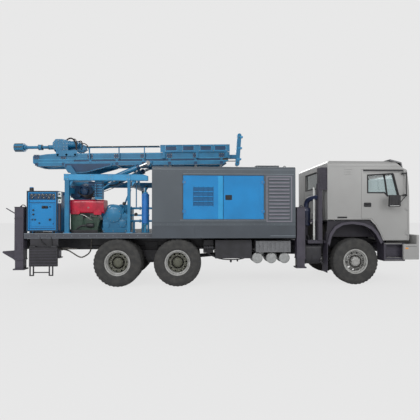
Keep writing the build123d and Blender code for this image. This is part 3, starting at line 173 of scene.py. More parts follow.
hub_olive = enamel("hub_olive_enamel", "#5f6052", "#4d4e43", 0.5, 0.1, 90)
box_grey = enamel("battery_box_enamel", "#77787b", "#68696c", 0.45, 0.2, 90)
signal_white = enamel("signal_white_enamel", "#e4e6e4", "#d2d5d2", 0.35, 0.3, 120)
print("enamels", len([m for m in bpy.data.materials if m.name.endswith("enamel")]))

# %% [markdown]
# Bare metal shows where parts slide or rub: cylinder rods are hard chromed and mirror bright, the
# fuel tank is brushed aluminium, and fittings are zinc plated steel. The metals keep the default
# IOR, because for a metal the base colour already is its reflection.

# %% Bare and plated metal
def bare_metal(name, code, dark, roughness, grain_mm, stretch=(1, 1, 1), depth=0.02):
    """A metal whose grain runs along the axis that is stretched least."""
    material, tree, shader = start_material(name, Metallic=1.0, Roughness=roughness)
    grain = noise(tree, grain_mm, 4.0, stretch)
    tree.links.new(between(tree, grain, 0.3, 0.7, linear(dark), linear(code)),
                   shader.inputs["Base Color"])
    bump(tree, shader, grain, depth)
    return material


hard_chrome = bare_metal("hard_chrome", "#d4d6d8", "#c4c6c8", 0.08, 60)
brushed_aluminium = bare_metal("brushed_aluminium", "#b3b5b6", "#8f9192", 0.34, 12, (0.05, 1, 1))
zinc_plate = bare_metal("zinc_plated_steel", "#a5a6a3", "#7d7e7c", 0.38, 14)
worn_steel = bare_metal("worn_steel", "#6e6c69", "#45423f", 0.5, 25, depth=0.1)
brass = bare_metal("brass", "#c9a558", "#a3823c", 0.3, 14)

# %% [markdown]
# Tyres are carbon-black rubber: nearly black, rough, and greyed by dust. Moulded plastic such as
# the arch liners has a fine grain from the mould. Both reflect about as water does, with an IOR
# near 1.5, so their roughness and bump carry the look.

# %% Rubber, plastic and cloth
def moulded(name, code, dust, roughness, grain_mm, depth, sheen=0.0):
    """A moulded or woven surface: a base colour, a dusty colour and a grain of real size."""
    material, tree, shader = start_material(name, Roughness=roughness, IOR=1.5, **{
        "Sheen Weight": sheen})
    colour = between(tree, noise(tree, 110, 4.0), 0.4, 0.75, linear(code), linear(dust))
    tree.links.new(colour, shader.inputs["Base Color"])
    bump(tree, shader, noise(tree, grain_mm, 2.0), depth)
    return material


tyre_rubber = moulded("tyre_rubber", "#353535", "#454442", 0.78, 7, 0.25)
hose_rubber = moulded("hose_rubber", "#1c1c1f", "#28282b", 0.6, 5, 0.1)
seal_rubber = moulded("seal_rubber", "#17171a", "#202023", 0.65, 5, 0.05)
liner_plastic = moulded("moulded_liner_plastic", "#37343f", "#413e49", 0.55, 4, 0.12)
black_plastic = moulded("moulded_black_plastic", "#1d1d20", "#28282b", 0.45, 4, 0.1)
seat_cloth = moulded("woven_seat_cloth", "#3c3e44", "#46484e", 0.9, 4, 0.3, 0.4)
cast_iron = moulded("cast_iron", "#4d4b49", "#5d5a56", 0.7, 8, 0.35)

# %% [markdown]
# Window glass is clear and very smooth, with an IOR of 1.52 and a faint green grey. Lamp lenses
# are coloured acrylic.

# %% Glass and lenses
def clear_stuff(name, code, ior):
    """A clear and very smooth sheet, such as glass or acrylic."""
    return start_material(name, **{"Base Color": linear(code), "Roughness": 0.02, "IOR": ior,
                                   "Transmission Weight": 1.0})[0]


window_glass = clear_stuff("window_glass", "#d5dfe0", 1.52)
clear_lens = clear_stuff("clear_acrylic", "#f1f3f4", 1.49)


def lens(name, code):
    return start_material(name, **{"Base Color": linear(code), "Roughness": 0.12, "IOR": 1.49,
                                   "Coat Weight": 0.6, "Emission Color": linear(code),
                                   "Emission Strength": 0.12})[0]


amber_lens, red_lens = lens("amber_acrylic", "#e08a18"), lens("red_acrylic", "#b3131c")
mirror_glass = bare_metal("mirror_glass", "#c9cfd3", "#c2c8cc", 0.03, 200, depth=0.0)
gauge_face = moulded("gauge_face", "#1f2c33", "#26343b", 0.3, 20, 0.0)

# %% [markdown]
# Every CAD node keeps its shape here and gets one of these finishes.

# %% Dress every CAD node
finishes = {
    rig_blue: ["gantry", "mud_pump", "hydraulic_tank", "mast_frame", "rotary_head", "spindle",
               "cylinder_barrel_right", "cylinder_barrel_left"],
    pale_blue: ["line_oiler"],
    panel_blue: ["control_cabinet", "canopy_door_right_rear", "canopy_door_right_front",
                 "canopy_door_left_rear", "canopy_door_left_front"],
    canopy_grey: ["canopy_shell", "canopy_grilles"],
    cab_silver: ["cab_shell", "cab_door_right", "cab_door_left", "bumper"],
    chassis_black: ["chassis_frame", "axle_housings", "leaf_springs", "driveline", "air_tanks",
                    "tool_boxes", "knuckle_right", "knuckle_left", "operator_platform",
                    "platform_carrier"],
    box_grey: ["battery_box"],
    cast_iron: ["truck_engine", "compressor_set"],
    deck_grey: ["deck"],
    jack_grey: ["jack_sleeves", "jack_leg_rear_right", "jack_leg_rear_left",
                "jack_leg_front_right", "jack_leg_front_left"],
    engine_green: ["service_engine"],
    brushed_aluminium: ["fuel_tank"],
    liner_plastic: ["cab_steps", "mudguards", "intake_stack"],
    black_plastic: ["mirror_right", "mirror_left"],
    seat_cloth: ["cab_interior"],
    window_glass: ["cab_glass", "door_glass_right", "door_glass_left"],
    hard_chrome: ["cylinder_rod_right", "cylinder_rod_left"],
    tyre_rubber: [n for n in nodes if n.startswith("wheel_")],
}
for material, names in finishes.items():
    for name in names:
        mesh = nodes[name].data
        mesh.materials.clear()
        mesh.materials.append(material)
bare = sorted(set(nodes) - {name for names in finishes.values() for name in names})
print("nodes without a finish", bare)

# %% [markdown]
# The small parts are built as meshes in code. A `Shape` collects plates, rods, turned parts and
# tubes into one mesh, and then becomes a piece with a bevel on its edges, because real edges are
# never sharp. Several small things of one finish on one body make one piece.

# %% A tool for building pieces
class Shape:
    """A mesh in the making. Side -1 draws it on the right, from distances measured outward."""

    def __init__(self, side=1):
        self.mesh = bmesh.new()
        self.side = side

    def at(self, x, y, z):
        return at(x, self.side * y, z)

    def add(self, points, faces):
        made = [self.mesh.verts.new(p) for p in points]
        for face in faces:
            self.mesh.faces.new([made[i] for i in face])
        return self

    def box(self, low, high):
        """A box between two places in millimetres."""
        (x0, y0, z0), (x1, y1, z1) = self.at(*low), self.at(*high)
        x0, x1, y0, y1, z0, z1 = (*sorted((x0, x1)), *sorted((y0, y1)), *sorted((z0, z1)))
        points = [(x, y, z) for x in (x0, x1) for y in (y0, y1) for z in (z0, z1)]
        return self.add(points, [(0, 1, 3, 2), (4, 6, 7, 5), (0, 4, 5, 1), (2, 3, 7, 6),
                                 (0, 2, 6, 4), (1, 5, 7, 3)])

    def loft(self, rings, closed=True, caps=True):
        """Skin a row of rings that have the same number of points."""
        count = len(rings[0])
        faces = []
        for i in range(len(rings) - 1):
            for j in range(count if closed else count - 1):
                k = (j + 1) % count
                faces.append((i * count + j, i * count + k, (i + 1) * count + k,
                              (i + 1) * count + j))
        if caps:
            faces.append(tuple(range(count - 1, -1, -1)))
            faces.append(tuple(range((len(rings) - 1) * count, len(rings) * count)))
        return self.add([p for ring in rings for p in ring], faces)

    def turned(self, profile, centre, axis, steps=24):
        """Turn a profile of (radius, along) points in millimetres about an axis at a place."""
        axis = Vector((axis[0], axis[1] * self.side, axis[2]))
        turn = Vector((0, 0, 1)).rotation_difference(axis).to_matrix()
        middle = self.at(*centre)
        rings = []
        for radius, along in profile:
            rings.append([middle + turn @ Vector((cos(a) * radius, sin(a) * radius, along)) / 1000
                          for a in (2 * pi * i / steps for i in range(steps))])
        return self.loft(rings)

    def rod(self, start, end, radius, steps=16):
        run = at(*end) - at(*start)
        return self.turned([(radius, 0), (radius, run.length * 1000)], start, run, steps)

    def bolt(self, place, axis, size=12, height=9):
        """A hexagon head on its washer."""
        self.turned([(size * 1.25, 0), (size * 1.25, 2.5)], place, axis, 16)
        return self.turned([(size, 2.5), (size, height), (size * 0.8, height + 2)], place, axis, 6)

    def plate(self, outline, low, high, across="y"):
        """An outline pulled along one axis: (x, z) points for y, (y, z) for x, (x, y) for z."""
        return self.loft([[self.across(across, a, b, t) for a, b in outline] for t in (low, high)])

    def across(self, axis, a, b, distance):
        """The place at a distance along one axis, whose other two coordinates are a and b."""
        return self.at(*{"x": (distance, a, b), "y": (a, distance, b), "z": (a, b, distance)}[axis])

    def tube(self, points, radius, steps=10):
        """A bent pipe through places in millimetres, rounded at its corners by a spline."""
        curve = bpy.data.curves.new("pipe_route", "CURVE")
        curve.dimensions = "3D"
        spline = curve.splines.new("NURBS")
        spline.points.add(len(points) - 1)
        for point, place in zip(spline.points, points):
            point.co = (*self.at(*place), 1)
        spline.order_u, spline.use_endpoint_u = 3, True
        curve.resolution_u, curve.bevel_depth = 6, radius / 1000
        curve.bevel_resolution, curve.use_fill_caps = max(1, steps // 4), True
        holder = bpy.data.objects.new("pipe_route", curve)
        mesh = bpy.data.meshes.new_from_object(holder)
        self.mesh.from_mesh(mesh)
        bpy.data.objects.remove(holder)
        bpy.data.curves.remove(curve)
        bpy.data.meshes.remove(mesh)
        return self


total_triangles = {}


def report_progress():
    print("pieces", len(total_triangles), "triangles", sum(total_triangles.values()))


def piece(name, shape, material, body, bevel=2.0, smooth=40, replaces=()):
    """Turn a shape into a piece that rides on a body, with rounded edges of bevel millimetres."""
    bmesh.ops.recalc_face_normals(shape.mesh, faces=shape.mesh.faces)
    mesh = bpy.data.meshes.new(name)
    shape.mesh.to_mesh(mesh)
    shape.mesh.free()
    mesh.materials.append(material)
    made = bpy.data.objects.new(name, mesh)
    bpy.context.scene.collection.objects.link(made)
    mesh.shade_smooth()
    mesh.set_sharp_from_angle(angle=radians(smooth))
    if bevel:
        edge = made.modifiers.new("edge", "BEVEL")
        edge.width, edge.segments, edge.limit_method = bevel / 1000, 2, "ANGLE"
        edge.angle_limit = radians(smooth)
        edge.harden_normals = True
    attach(made, body)
    if replaces:
        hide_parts(*replaces)
    total_triangles[name] = sum(len(p.vertices) - 2 for p in mesh.polygons)
    return made


# %% [markdown]
# A truck tyre has a rounded sidewall, a square shoulder and blocks of tread cut by grooves. Turning
# one profile gives the sidewall and the grooves that run round it. The cross grooves come from
# pushing every second slice of the shoulder inward, which is quicker than cutting blocks and keeps
# the mesh even. The rim is a dished disc with hand holes, round its hub and nuts.

# %% Tyres
TYRE_SLICES = 144
GROOVE = 11             # millimetres that a cross groove steps in


def tyre(shape, x, y, z=axle_z):
    """One tyre about the axis at (x, y), made of slices whose shoulders step in and out."""
    half = [(262, 100, 0), (268, 112, 0), (292, 118, 0), (300, 126, 0), (340, 138, 0),
            (346, 141, 0), (352, 141, 0), (405, 148, 0), (455, 147, 0), (462, 149, 0),
            (470, 148, 0), (512, 140, 0), (520, 139, 0.6), (545, 128, 1), (556, 118, 1),
            (560, 88, 1), (560, 72, 0.2), (548, 70, 0), (548, 62, 0), (560, 60, 0), (560, 16, 0),
            (548, 14, 0), (548, 6, 0), (560, 4, 0)]
    outline = half + [(r, -w, cut) for r, w, cut in reversed(half)]
    rings = []
    for i in range(TYRE_SLICES):
        a = 2 * pi * i / TYRE_SLICES
        deep = GROOVE if i % 4 in (0, 1) else 0
        other = GROOVE - deep
        ring = []
        for r, w, cut in outline:
            radius = r - cut * (deep if w > 0 else other)
            ring.append(at(x + cos(a) * radius, y + w, z + sin(a) * radius))
        rings.append(ring)
    rings.append(rings[0])
    shape.loft(rings, closed=False, caps=False)
    bmesh.ops.remove_doubles(shape.mesh, verts=shape.mesh.verts, dist=0.00001)


def disc(shape, x, y, side, profile, holes, hole_rows, slices=80, wall=10):
    """A dished disc: a turned profile of (radius, outward) with openings in its hole rows."""
    rings = [[at(x + cos(a) * r, y + side * out, axle_z + sin(a) * r)
              for a in (2 * pi * i / slices for i in range(slices))] for r, out in profile]
    points = [p for ring in rings for p in ring]
    per_hole = slices // holes
    faces = []
    for row in range(len(profile) - 1):
        for j in range(slices):
            if row in hole_rows and j % per_hole in (0, 1):
                continue
            k = (j + 1) % slices
            faces.append((row * slices + j, row * slices + k, (row + 1) * slices + k,
                          (row + 1) * slices + j))
    shape.add(points, faces)
    bmesh.ops.solidify(shape.mesh, geom=shape.mesh.faces[:], thickness=wall / 1000)


# Each disc: its profile, its nuts' radius and place, the hub cap's profile, the places of the small bolts
# and the valve, the disc's paint and the hub's. On the twin wheels the disc's paint is a lighter copy of
# the hub's olive, as painted light against the shade in the deep dish
front_disc = ([(245, 45), (236, 62), (228, 72), (206, 86), (184, 98), (172, 104), (150, 106), (128, 106),
               (112, 104)], 142, 106, [(112, 90), (112, 122), (104, 136), (78, 144), (70, 152),
                                       (0.5, 153)], 132, 100, wheel_silver, wheel_silver)
twin_disc = ([(240, 140), (232, 152), (222, 162), (206, 168), (182, 170), (166, 168), (150, 166),
              (136, 166), (112, 166)], 146, 166, [(118, 150), (118, 190), (112, 198), (98, 202),
                                                  (92, 216), (84, 224), (60, 228), (0.5, 229)], 196, 166,
             disc_olive_painted_light, hub_olive)
sides = (("right", -1), ("left", 1))
# Directions: OUT leaves the machine on the side that a shape is drawn on
OUT, RIGHT, UP, FORWARD, BACK = (0, 1, 0), (0, -1, 0), (0, 0, 1), (1, 0, 0), (-1, 0, 0)
for side_name, side in sides:
    twins = (twin_spacing / 2, -twin_spacing / 2)
    for row, x, offsets in (("front", 0, (0,)), ("middle", middle_axle, twins),
                            ("rear", rear_axle, twins)):
        name = f"wheel_{row}_{side_name}"
        body = f"roller_{row}_{side_name}"
        track = front_track if row == "front" else rear_track
        y = side * track / 2
        rubber = Shape()
        for offset in offsets:
            tyre(rubber, x, y + side * offset)
        piece(f"tyre_{row}_{side_name}", rubber, tyre_rubber, body, bevel=0,
              smooth=32, replaces=(name,))
        rim = Shape()
        for offset in offsets:
            middle = y + side * offset
            edge = [(262, -112), (262, -60), (250, -48), (250, 40), (264, 60), (266, 112),
                    (274, 122), (300, 126), (303, 120), (290, 115), (280, 108), (272, 100),
                    (244, 92), (236, 80), (234, -48), (250, -112)]
            rings = [[at(x + cos(a) * r, middle + side * w, axle_z + sin(a) * r) for r, w in edge]
                     for a in (2 * pi * i / 72 for i in range(73))]
            rim.loft(rings, caps=False)
        bmesh.ops.remove_doubles(rim.mesh, verts=rim.mesh.verts, dist=0.00001)
        piece(f"rim_{row}_{side_name}", rim, wheel_silver, body, bevel=0, smooth=35)
        profile, nut_radius, nut_out, cap, ring_out, valve_out, paint, hub_paint = (
            front_disc if row == "front" else twin_disc)
        face = Shape()
        disc(face, x, y, side, profile, 10, (2, 3), wall=-10 * side)
        piece(f"wheel_disc_{row}_{side_name}", face, paint, body, bevel=0, smooth=50)
        hub = Shape()
        hub.turned(cap, (x, y, axle_z), (0, side, 0), 40)
        nuts = Shape()
        for i in range(10):
            a = 2 * pi * (i + 0.5) / 10
            place = (x + cos(a) * nut_radius, y + side * nut_out, axle_z + sin(a) * nut_radius)
            nuts.bolt(place, (0, side, 0), 15, 22)
            nuts.turned([(8, 20), (8, 38), (6, 40)], place, (0, side, 0), 10)
        for i in range(8):
            a = 2 * pi * i / 8
            nuts.bolt((x + cos(a) * 104, y + side * ring_out, axle_z + sin(a) * 104), (0, side, 0), 7, 14)
        nuts.rod((x + 205, y + side * valve_out, axle_z - 96),
                 (x + 225, y + side * (valve_out + 24), axle_z - 105), 5, 8)
        piece(f"hub_{row}_{side_name}", hub, hub_paint, body, bevel=1.5)
        piece(f"wheel_nuts_{row}_{side_name}", nuts, worn_steel, body, bevel=0.8)
report_progress()

# %% [markdown]
# The panels carry many flat things with an outline: seals, bezels, trims. Two helpers serve them
# all. One moves an outline outward by a distance, with mitred corners, and the other makes a ring
# between two such outlines, which is what a window seal is. A third lays a level piece along the
# mast, which rests on the truck one degree nose up.

# %% Outlines, rings and the mast's lean
LEAN, PIVOT = radians(1.0), at(-7080, 0, 2880)


def grown(outline, by):
    """The (a, b) outline moved outward by a distance in millimetres."""
    area = sum(p[0] * q[1] - q[0] * p[1] for p, q in zip(outline, outline[1:] + outline[:1]))
    turn = 1 if area > 0 else -1
    moved = []
    for i, point in enumerate(outline):
        here = Vector(point)
        into = (here - Vector(outline[i - 1])).normalized()
        away = (Vector(outline[(i + 1) % len(outline)]) - here).normalized()
        first = Vector((into.y, -into.x)) * turn
        mitre = (first + Vector((away.y, -away.x)) * turn).normalized()
        moved.append(tuple(here + mitre * by / max(0.4, mitre.dot(first))))
    return moved


def ring(shape, outline, inner, outer, low, high, across="y"):
    """A closed frame along an outline, from inner to outer millimetres outside it."""
    inside, outside = grown(outline, inner), grown(outline, outer)
    rows = [[shape.across(across, *point, t) for point, t in ((i, low), (o, low), (o, high), (i, high))]
            for i, o in zip(inside, outside)]
    shape.loft(rows + rows[:1], caps=False)
    bmesh.ops.remove_doubles(shape.mesh, verts=shape.mesh.verts, dist=0.000001)
    return shape


def rectangle(x0, x1, z0, z1):
    return [(x0, z0), (x0, z1), (x1, z1), (x1, z0)]


def rounded(x0, x1, z0, z1, radius=12, steps=4):
    """The outline of a rectangle with rounded corners."""
    points = []
    for cx, cz, start in ((x1 - radius, z1 - radius, 0), (x0 + radius, z1 - radius, 1),
                          (x0 + radius, z0 + radius, 2), (x1 - radius, z0 + radius, 3)):
        for i in range(steps + 1):
            a = (start + i / steps) * pi / 2
            points.append((cx + cos(a) * radius, cz + sin(a) * radius))
    return points


def laid(shape):
    """Turn a level shape about the mast's pivot to the way the mast lies in travel."""
    bmesh.ops.rotate(shape.mesh, cent=PIVOT, matrix=Matrix.Rotation(-LEAN, 3, "Y"),
                     verts=shape.mesh.verts)
    return shape


def both_sides(*shapes):
    """Run a loop twice, with its shapes drawn on the right and then on the left."""
    for side in (-1, 1):
        for shape in shapes:
            shape.side = side
        yield side


print("corner points of a rounded plate", len(rounded(0, 100, 0, 50)))

# %% [markdown]
# ## The cab
# Each door has a rubber seal round its window, a post that parts off the quarter pane, a black
# handle in a dished bezel, a drip rail above and a pressed line along its waist. They are separate
# thin pieces that ride on the door, so that they swing with it. The line stands two millimetres
# proud, because a pressed crease can't be added to the CAD mesh.

# %% Door seals, handles and rails
door_window = [(286, 2225), (286, 2650), (905, 2690), (1045, 2150), (770, 2150), (700, 2225)]
for side_name, side in sides:
    door = f"door_{side_name}"
    seal = ring(Shape(side), door_window, -16, 15, 1157, 1185)
    seal.plate([(682, 2676), (716, 2678), (788, 2154), (754, 2154)], 1157, 1183)
    seal.plate([(905, 2690), (935, 2690), (1072, 2150), (1045, 2150)], 1160, 1187)
    piece(f"window_seal_{side_name}", seal, seal_rubber, door)
    rail = Shape(side).plate([(180, 2742), (180, 2784), (1168, 2784), (1174, 2742)], 1179, 1189)
    rail.plate([(180, 2700), (180, 2706), (1160, 2722), (1160, 2716)], 1179, 1184)
    piece(f"drip_rail_{side_name}", rail, black_plastic, door)
    bezel = ring(Shape(side), rounded(194, 366, 1884, 1980, 20), -9, 4, 1178, 1188)
    bezel.plate(rounded(196, 364, 1886, 1978, 18), 1176, 1182)
    bezel.tube([(212, 1180, 1958), (214, 1206, 1956), (280, 1210, 1954), (346, 1206, 1956),
                (348, 1180, 1958)], 11)
    bezel.turned([(12, 0), (12, 6), (9, 8)], (280, 1181, 1910), OUT, 20)
    piece(f"door_handle_{side_name}", bezel, black_plastic, door)
    crease = Shape(side).plate(rectangle(146, 1250, 1656, 1668), 1179, 1182.5)
    crease.plate(rectangle(395, 1250, 1612, 1617), 1179, 1182)
    piece(f"door_crease_{side_name}", crease, cab_silver, door, bevel=1)
report_progress()

# %% [markdown]
# Behind the door the cab's side is one pressing, with three vent ridges near the roof, a small
# slotted vent near the arch and the same waist line. The roof edge carries a gutter, and the
# pressed seam over the door is a shallow shadow line.

# %% Side panels of the cab
for side_name, side in sides:
    panel = Shape(side)
    for z in (2664, 2724, 2784):
        panel.plate([(-300, z), (-292, z + 12), (-102, z + 12), (-94, z)], 1179, 1188)
    panel.plate(rectangle(-688, 128, 1656, 1668), 1179, 1182.5)
    panel.plate([(-640, 2858), (-640, 2868), (1080, 2868), (1092, 2858)], 1178, 1184)
    piece(f"side_pressings_{side_name}", panel, cab_silver, "cab", bevel=1.5)
    vent = Shape(side).plate(rounded(-462, -222, 1606, 1646, 8), 1178, 1183)
    for i in range(6):
        x = -440 + 36 * i
        vent.plate([(x, 1612), (x + 10, 1640), (x + 16, 1640), (x + 6, 1612)], 1182, 1188)
    piece(f"side_vent_{side_name}", vent, black_plastic, "cab", bevel=1)
    lip = Shape(side)
    arch = [(636, 1072), (566, 1252), (456, 1446), (340, 1562), (-690, 1562)]
    for (xa, za), (xb, zb) in zip(arch, arch[1:]):
        lip.plate([(xa, za), (xb, zb), (xb - 4, zb + 14), (xa - 14, za + 6)] if xb > -600
                  else [(xa, za), (xb, zb), (xb, zb + 14), (xa - 4, za + 14)], 1178, 1188)
    piece(f"arch_lip_{side_name}", lip, seal_rubber, "cab", bevel=1)

# %% [markdown]
# A sun visor of smoked acrylic hangs over the windscreen. The CAD carries its blade, and a dark
# skin that reaches round the cab's corners covers it. Below the screen the grille is a black mesh
# behind five painted slots. Two wipers park across the glass, and amber marker lamps stand on the
# roof.

# %% Visor, screen seal, wipers, grille and marker lamps
visor = Shape().plate([(858, 2990), (858, 3044), (1143, 2973), (1171, 2844), (1140, 2835),
                       (1116, 2944), (905, 2990)], -1160, 1160)
piece("visor_skin", visor, start_material("smoked_acrylic", **{
    "Base Color": linear("#2c2d33"), "Roughness": 0.12, "IOR": 1.49, "Coat Weight": 0.5})[0],
      "cab")
screen_trim = Shape()
for y0, y1 in ((-1052, -1032), (1032, 1052)):
    screen_trim.loft([[at(x, y0, z), at(x + 5, y0, z), at(x + 5, y1, z), at(x, y1, z)]
                      for x, z in ((1346, 2030), (1336, 2240), (1272, 2740))])
for z, x in ((2024, 1347), (2742, 1270)):
    screen_trim.box((x - 8, -1052, z - 12), (x + 6, 1052, z + 12))
for y, lean in ((-860, 640), (-60, 640)):
    screen_trim.tube([(1352, y, 2000), (1372, y, 2010), (1350, y + lean * 0.5, 2060),
                      (1346, y + lean, 2105)], 8)
    screen_trim.box((1342, y + 60, 2078), (1352, y + lean + 40, 2100))
piece("screen_trim_and_wipers", screen_trim, seal_rubber, "cab", bevel=1)
mesh_shape = Shape()
for i in range(5):
    z = 1290 + 90 * i
    mesh_shape.box((1334, -756, z + 2), (1338, 756, z + 43))
    for k in range(38):
        y = -740 + 40 * k
        mesh_shape.box((1337, y, z + 3), (1342, y + 7, z + 42))
    mesh_shape.box((1337, -755, z + 20), (1344, 755, z + 25))
piece("grille_mesh", mesh_shape, black_plastic, "cab", bevel=0)
band = Shape().box((1356, -1060, 1800), (1363, 1060, 1806))
band.box((1356, -900, 1215), (1364, 900, 1222))
for y in (-620, 560):
    band.tube([(1358, y, 1870), (1392, y, 1872), (1392, y + 200, 1872), (1358, y + 200, 1870)], 9)
piece("front_rails", band, black_plastic, "cab", bevel=1)
markers = Shape()
for y in (-960, -320, 320, 960):
    markers.turned([(30, -4), (30, 4), (26, 14), (16, 20), (0.5, 22)], (905, y, 3012), UP, 20)
piece("roof_marker_lamps", markers, amber_lens, "cab", bevel=0)
report_progress()

# %% [markdown]
# The mirrors are folded back along the doors. Each head is a ribbed black housing with the glass on
# the side that faces the door. Clamps hold it to its arm, and a pale reflector strip sits below.

# %% Mirror glass and housings
for side_name, side in sides:
    door = f"door_{side_name}"
    shell = Shape(side)
    for x in (760, 840, 920):
        shell.plate(rectangle(x, x + 10, 1900, 2150), 1399, 1405)
    shell.plate([(722, 1892), (730, 1912), (970, 1922), (970, 1906)], 1342, 1404)
    for z in (2165, 2690):
        shell.turned([(20, -16), (22, 0), (20, 16)], (1210, 1240, z), UP, 16)
    shell.turned([(17, -18), (17, 18)], (955, 1368, 2128), (1, 0, 0.4), 14)
    shell.turned([(17, -18), (17, 18)], (955, 1368, 1950), (1, 0, 0.4), 14)
    piece(f"mirror_housing_{side_name}", shell, black_plastic, door)
    glass = Shape(side).plate(rounded(735, 955, 1935, 2145, 18), 1341, 1345.5)
    piece(f"mirror_glass_{side_name}", glass, mirror_glass, door, bevel=1)
    edge = Shape(side).plate([(712, 1896), (716, 1906), (934, 1912), (936, 1902)], 1399, 1408)
    piece(f"mirror_reflector_{side_name}", edge, signal_white, door, bevel=1)

# %% [markdown]
# The steps below each door have pressed treads with a bright edge and raised buttons for grip.

# %% Step treads
for side_name, side in sides:
    tread = Shape(side)
    tread.box((690, 1186, 984), (1120, 1193, 1004))
    tread.box((726, 1186, 650), (1140, 1090, 656))
    tread.box((690, 1186, 590), (1120, 1193, 604))
    for i in range(9):
        x = 740 + 44 * i
        for y in (1110, 1150):
            tread.turned([(13, 0), (11, 5), (7, 5)], (x, y, 655), UP, 10)
        tread.box((x, 1184, 1009), (x + 26, 1100, 1014))
    piece(f"step_treads_{side_name}", tread, zinc_plate, "root", bevel=1)
    back = Shape(side).plate(rounded(735, 1135, 664, 945, 20), 1079, 1086)
    for i in range(5):
        back.plate(rounded(760, 1110, 690 + 50 * i, 712 + 50 * i, 8), 1084, 1090)
    piece(f"step_back_{side_name}", back, liner_plastic, "root", bevel=1)

# %% [markdown]
# The bumper holds two round lamps and an amber indicator on each side behind a clear cover. The
# silvered bowls are turned, because real reflectors are round pressings.

# %% Lamps in the bumper
for side_name, side in sides:
    bowls, amber, cover = Shape(side), Shape(side), Shape(side)
    for y in (800, 930):
        bowls.turned([(58, 33), (52, 28), (34, 10), (12, 2), (11, 22), (7, 26), (0.5, 27)],
                     (1519, y, 880), FORWARD, 32)
        bowls.turned(rectangle(60, 55, 24, 32), (1520, y, 880), FORWARD, 32)
    bowls.plate(rectangle(712, 1078, 808, 952), 1520, 1523, "x")
    amber.plate(rectangle(1008, 1072, 820, 940), 1522, 1544, "x")
    amber.box((1180, 1238, 870), (1250, 1246, 900))
    cover.plate(rectangle(706, 1084, 804, 956), 1547, 1551, "x")
    piece(f"lamp_bowls_{side_name}", bowls, mirror_glass, "root", bevel=0)
    piece(f"indicator_{side_name}", amber, amber_lens, "root", bevel=2)
    piece(f"lamp_cover_{side_name}", cover, clear_lens, "root", bevel=1)
inlet = Shape()
for i in range(28):
    inlet.box((1528, -556 + 40 * i, 762), (1534, -548 + 40 * i, 828))
inlet.box((1526, -558, 792), (1533, 558, 798))
inlet.box((1200, -1243, 925), (1455, -1239, 931))
inlet.box((1200, 1239, 925), (1455, 1243, 931))
piece("bumper_inlet", inlet, black_plastic, "root", bevel=0)
report_progress()

# %% [markdown]
# ## The compressor canopy
# The canopy is a sheet steel box with two double doors a side. Its lower skirt is painted darker, a
# folded sill runs under the doors and a gutter over them. These are folds of the sheet, so thin
# plates with rolled edges stand for them. They lie on the panels and hide no CAD.

# %% Skirt, sill and gutter
skirt_grey = enamel("skirt_grey_enamel", "#474e56", "#41474e", 0.45, 0.2, 500)
edge_grey = enamel("edge_grey_enamel", "#79828a", "#6c747c", 0.38, 0.3, 300)
for side_name, side in sides:
    skirt = Shape(side).plate(rounded(-4892, -1503, 1143, 1436, 4), 1248, 1252.5)
    skirt.plate(rectangle(-4892, -1503, 1500, 1512), 1248, 1254)
    for x in (-4560, -3900, -3240, -2580, -1920):
        skirt.plate(rounded(x, x + 6, 1150, 1430, 2), 1251, 1254)
    piece(f"canopy_skirt_{side_name}", skirt, skirt_grey, "root", bevel=1)
    gutter = Shape(side).plate(rectangle(-4170, -1540, 2644, 2660), 1248, 1258)
    gutter.plate(rectangle(-4240, -2200, 1560, 1574), 1248, 1256)
    gutter.plate([(-2120, 1186), (-2090, 1200), (-1506, 1200), (-1506, 1186)], 1251, 1257)
    gutter.plate(rounded(-4880, -1515, 2752, 2762, 3), 1247, 1252)
    piece(f"canopy_gutter_{side_name}", gutter, edge_grey, "root", bevel=2)
    frame_edge = ring(Shape(side), rectangle(-4170, -2256, 1583, 2620), 3, 16, 1248, 1253)
    piece(f"door_frame_{side_name}", frame_edge, skirt_grey, "root", bevel=1)
report_progress()

# %% [markdown]
# The rear leaf has a vent of punched slots backed by blue gauze, and a lighter cover strip where the
# leaves meet. The front leaf has a flush latch in a black dish. Rubber seals show as a dark line
# round each leaf, and every hinge is held by four bolts.

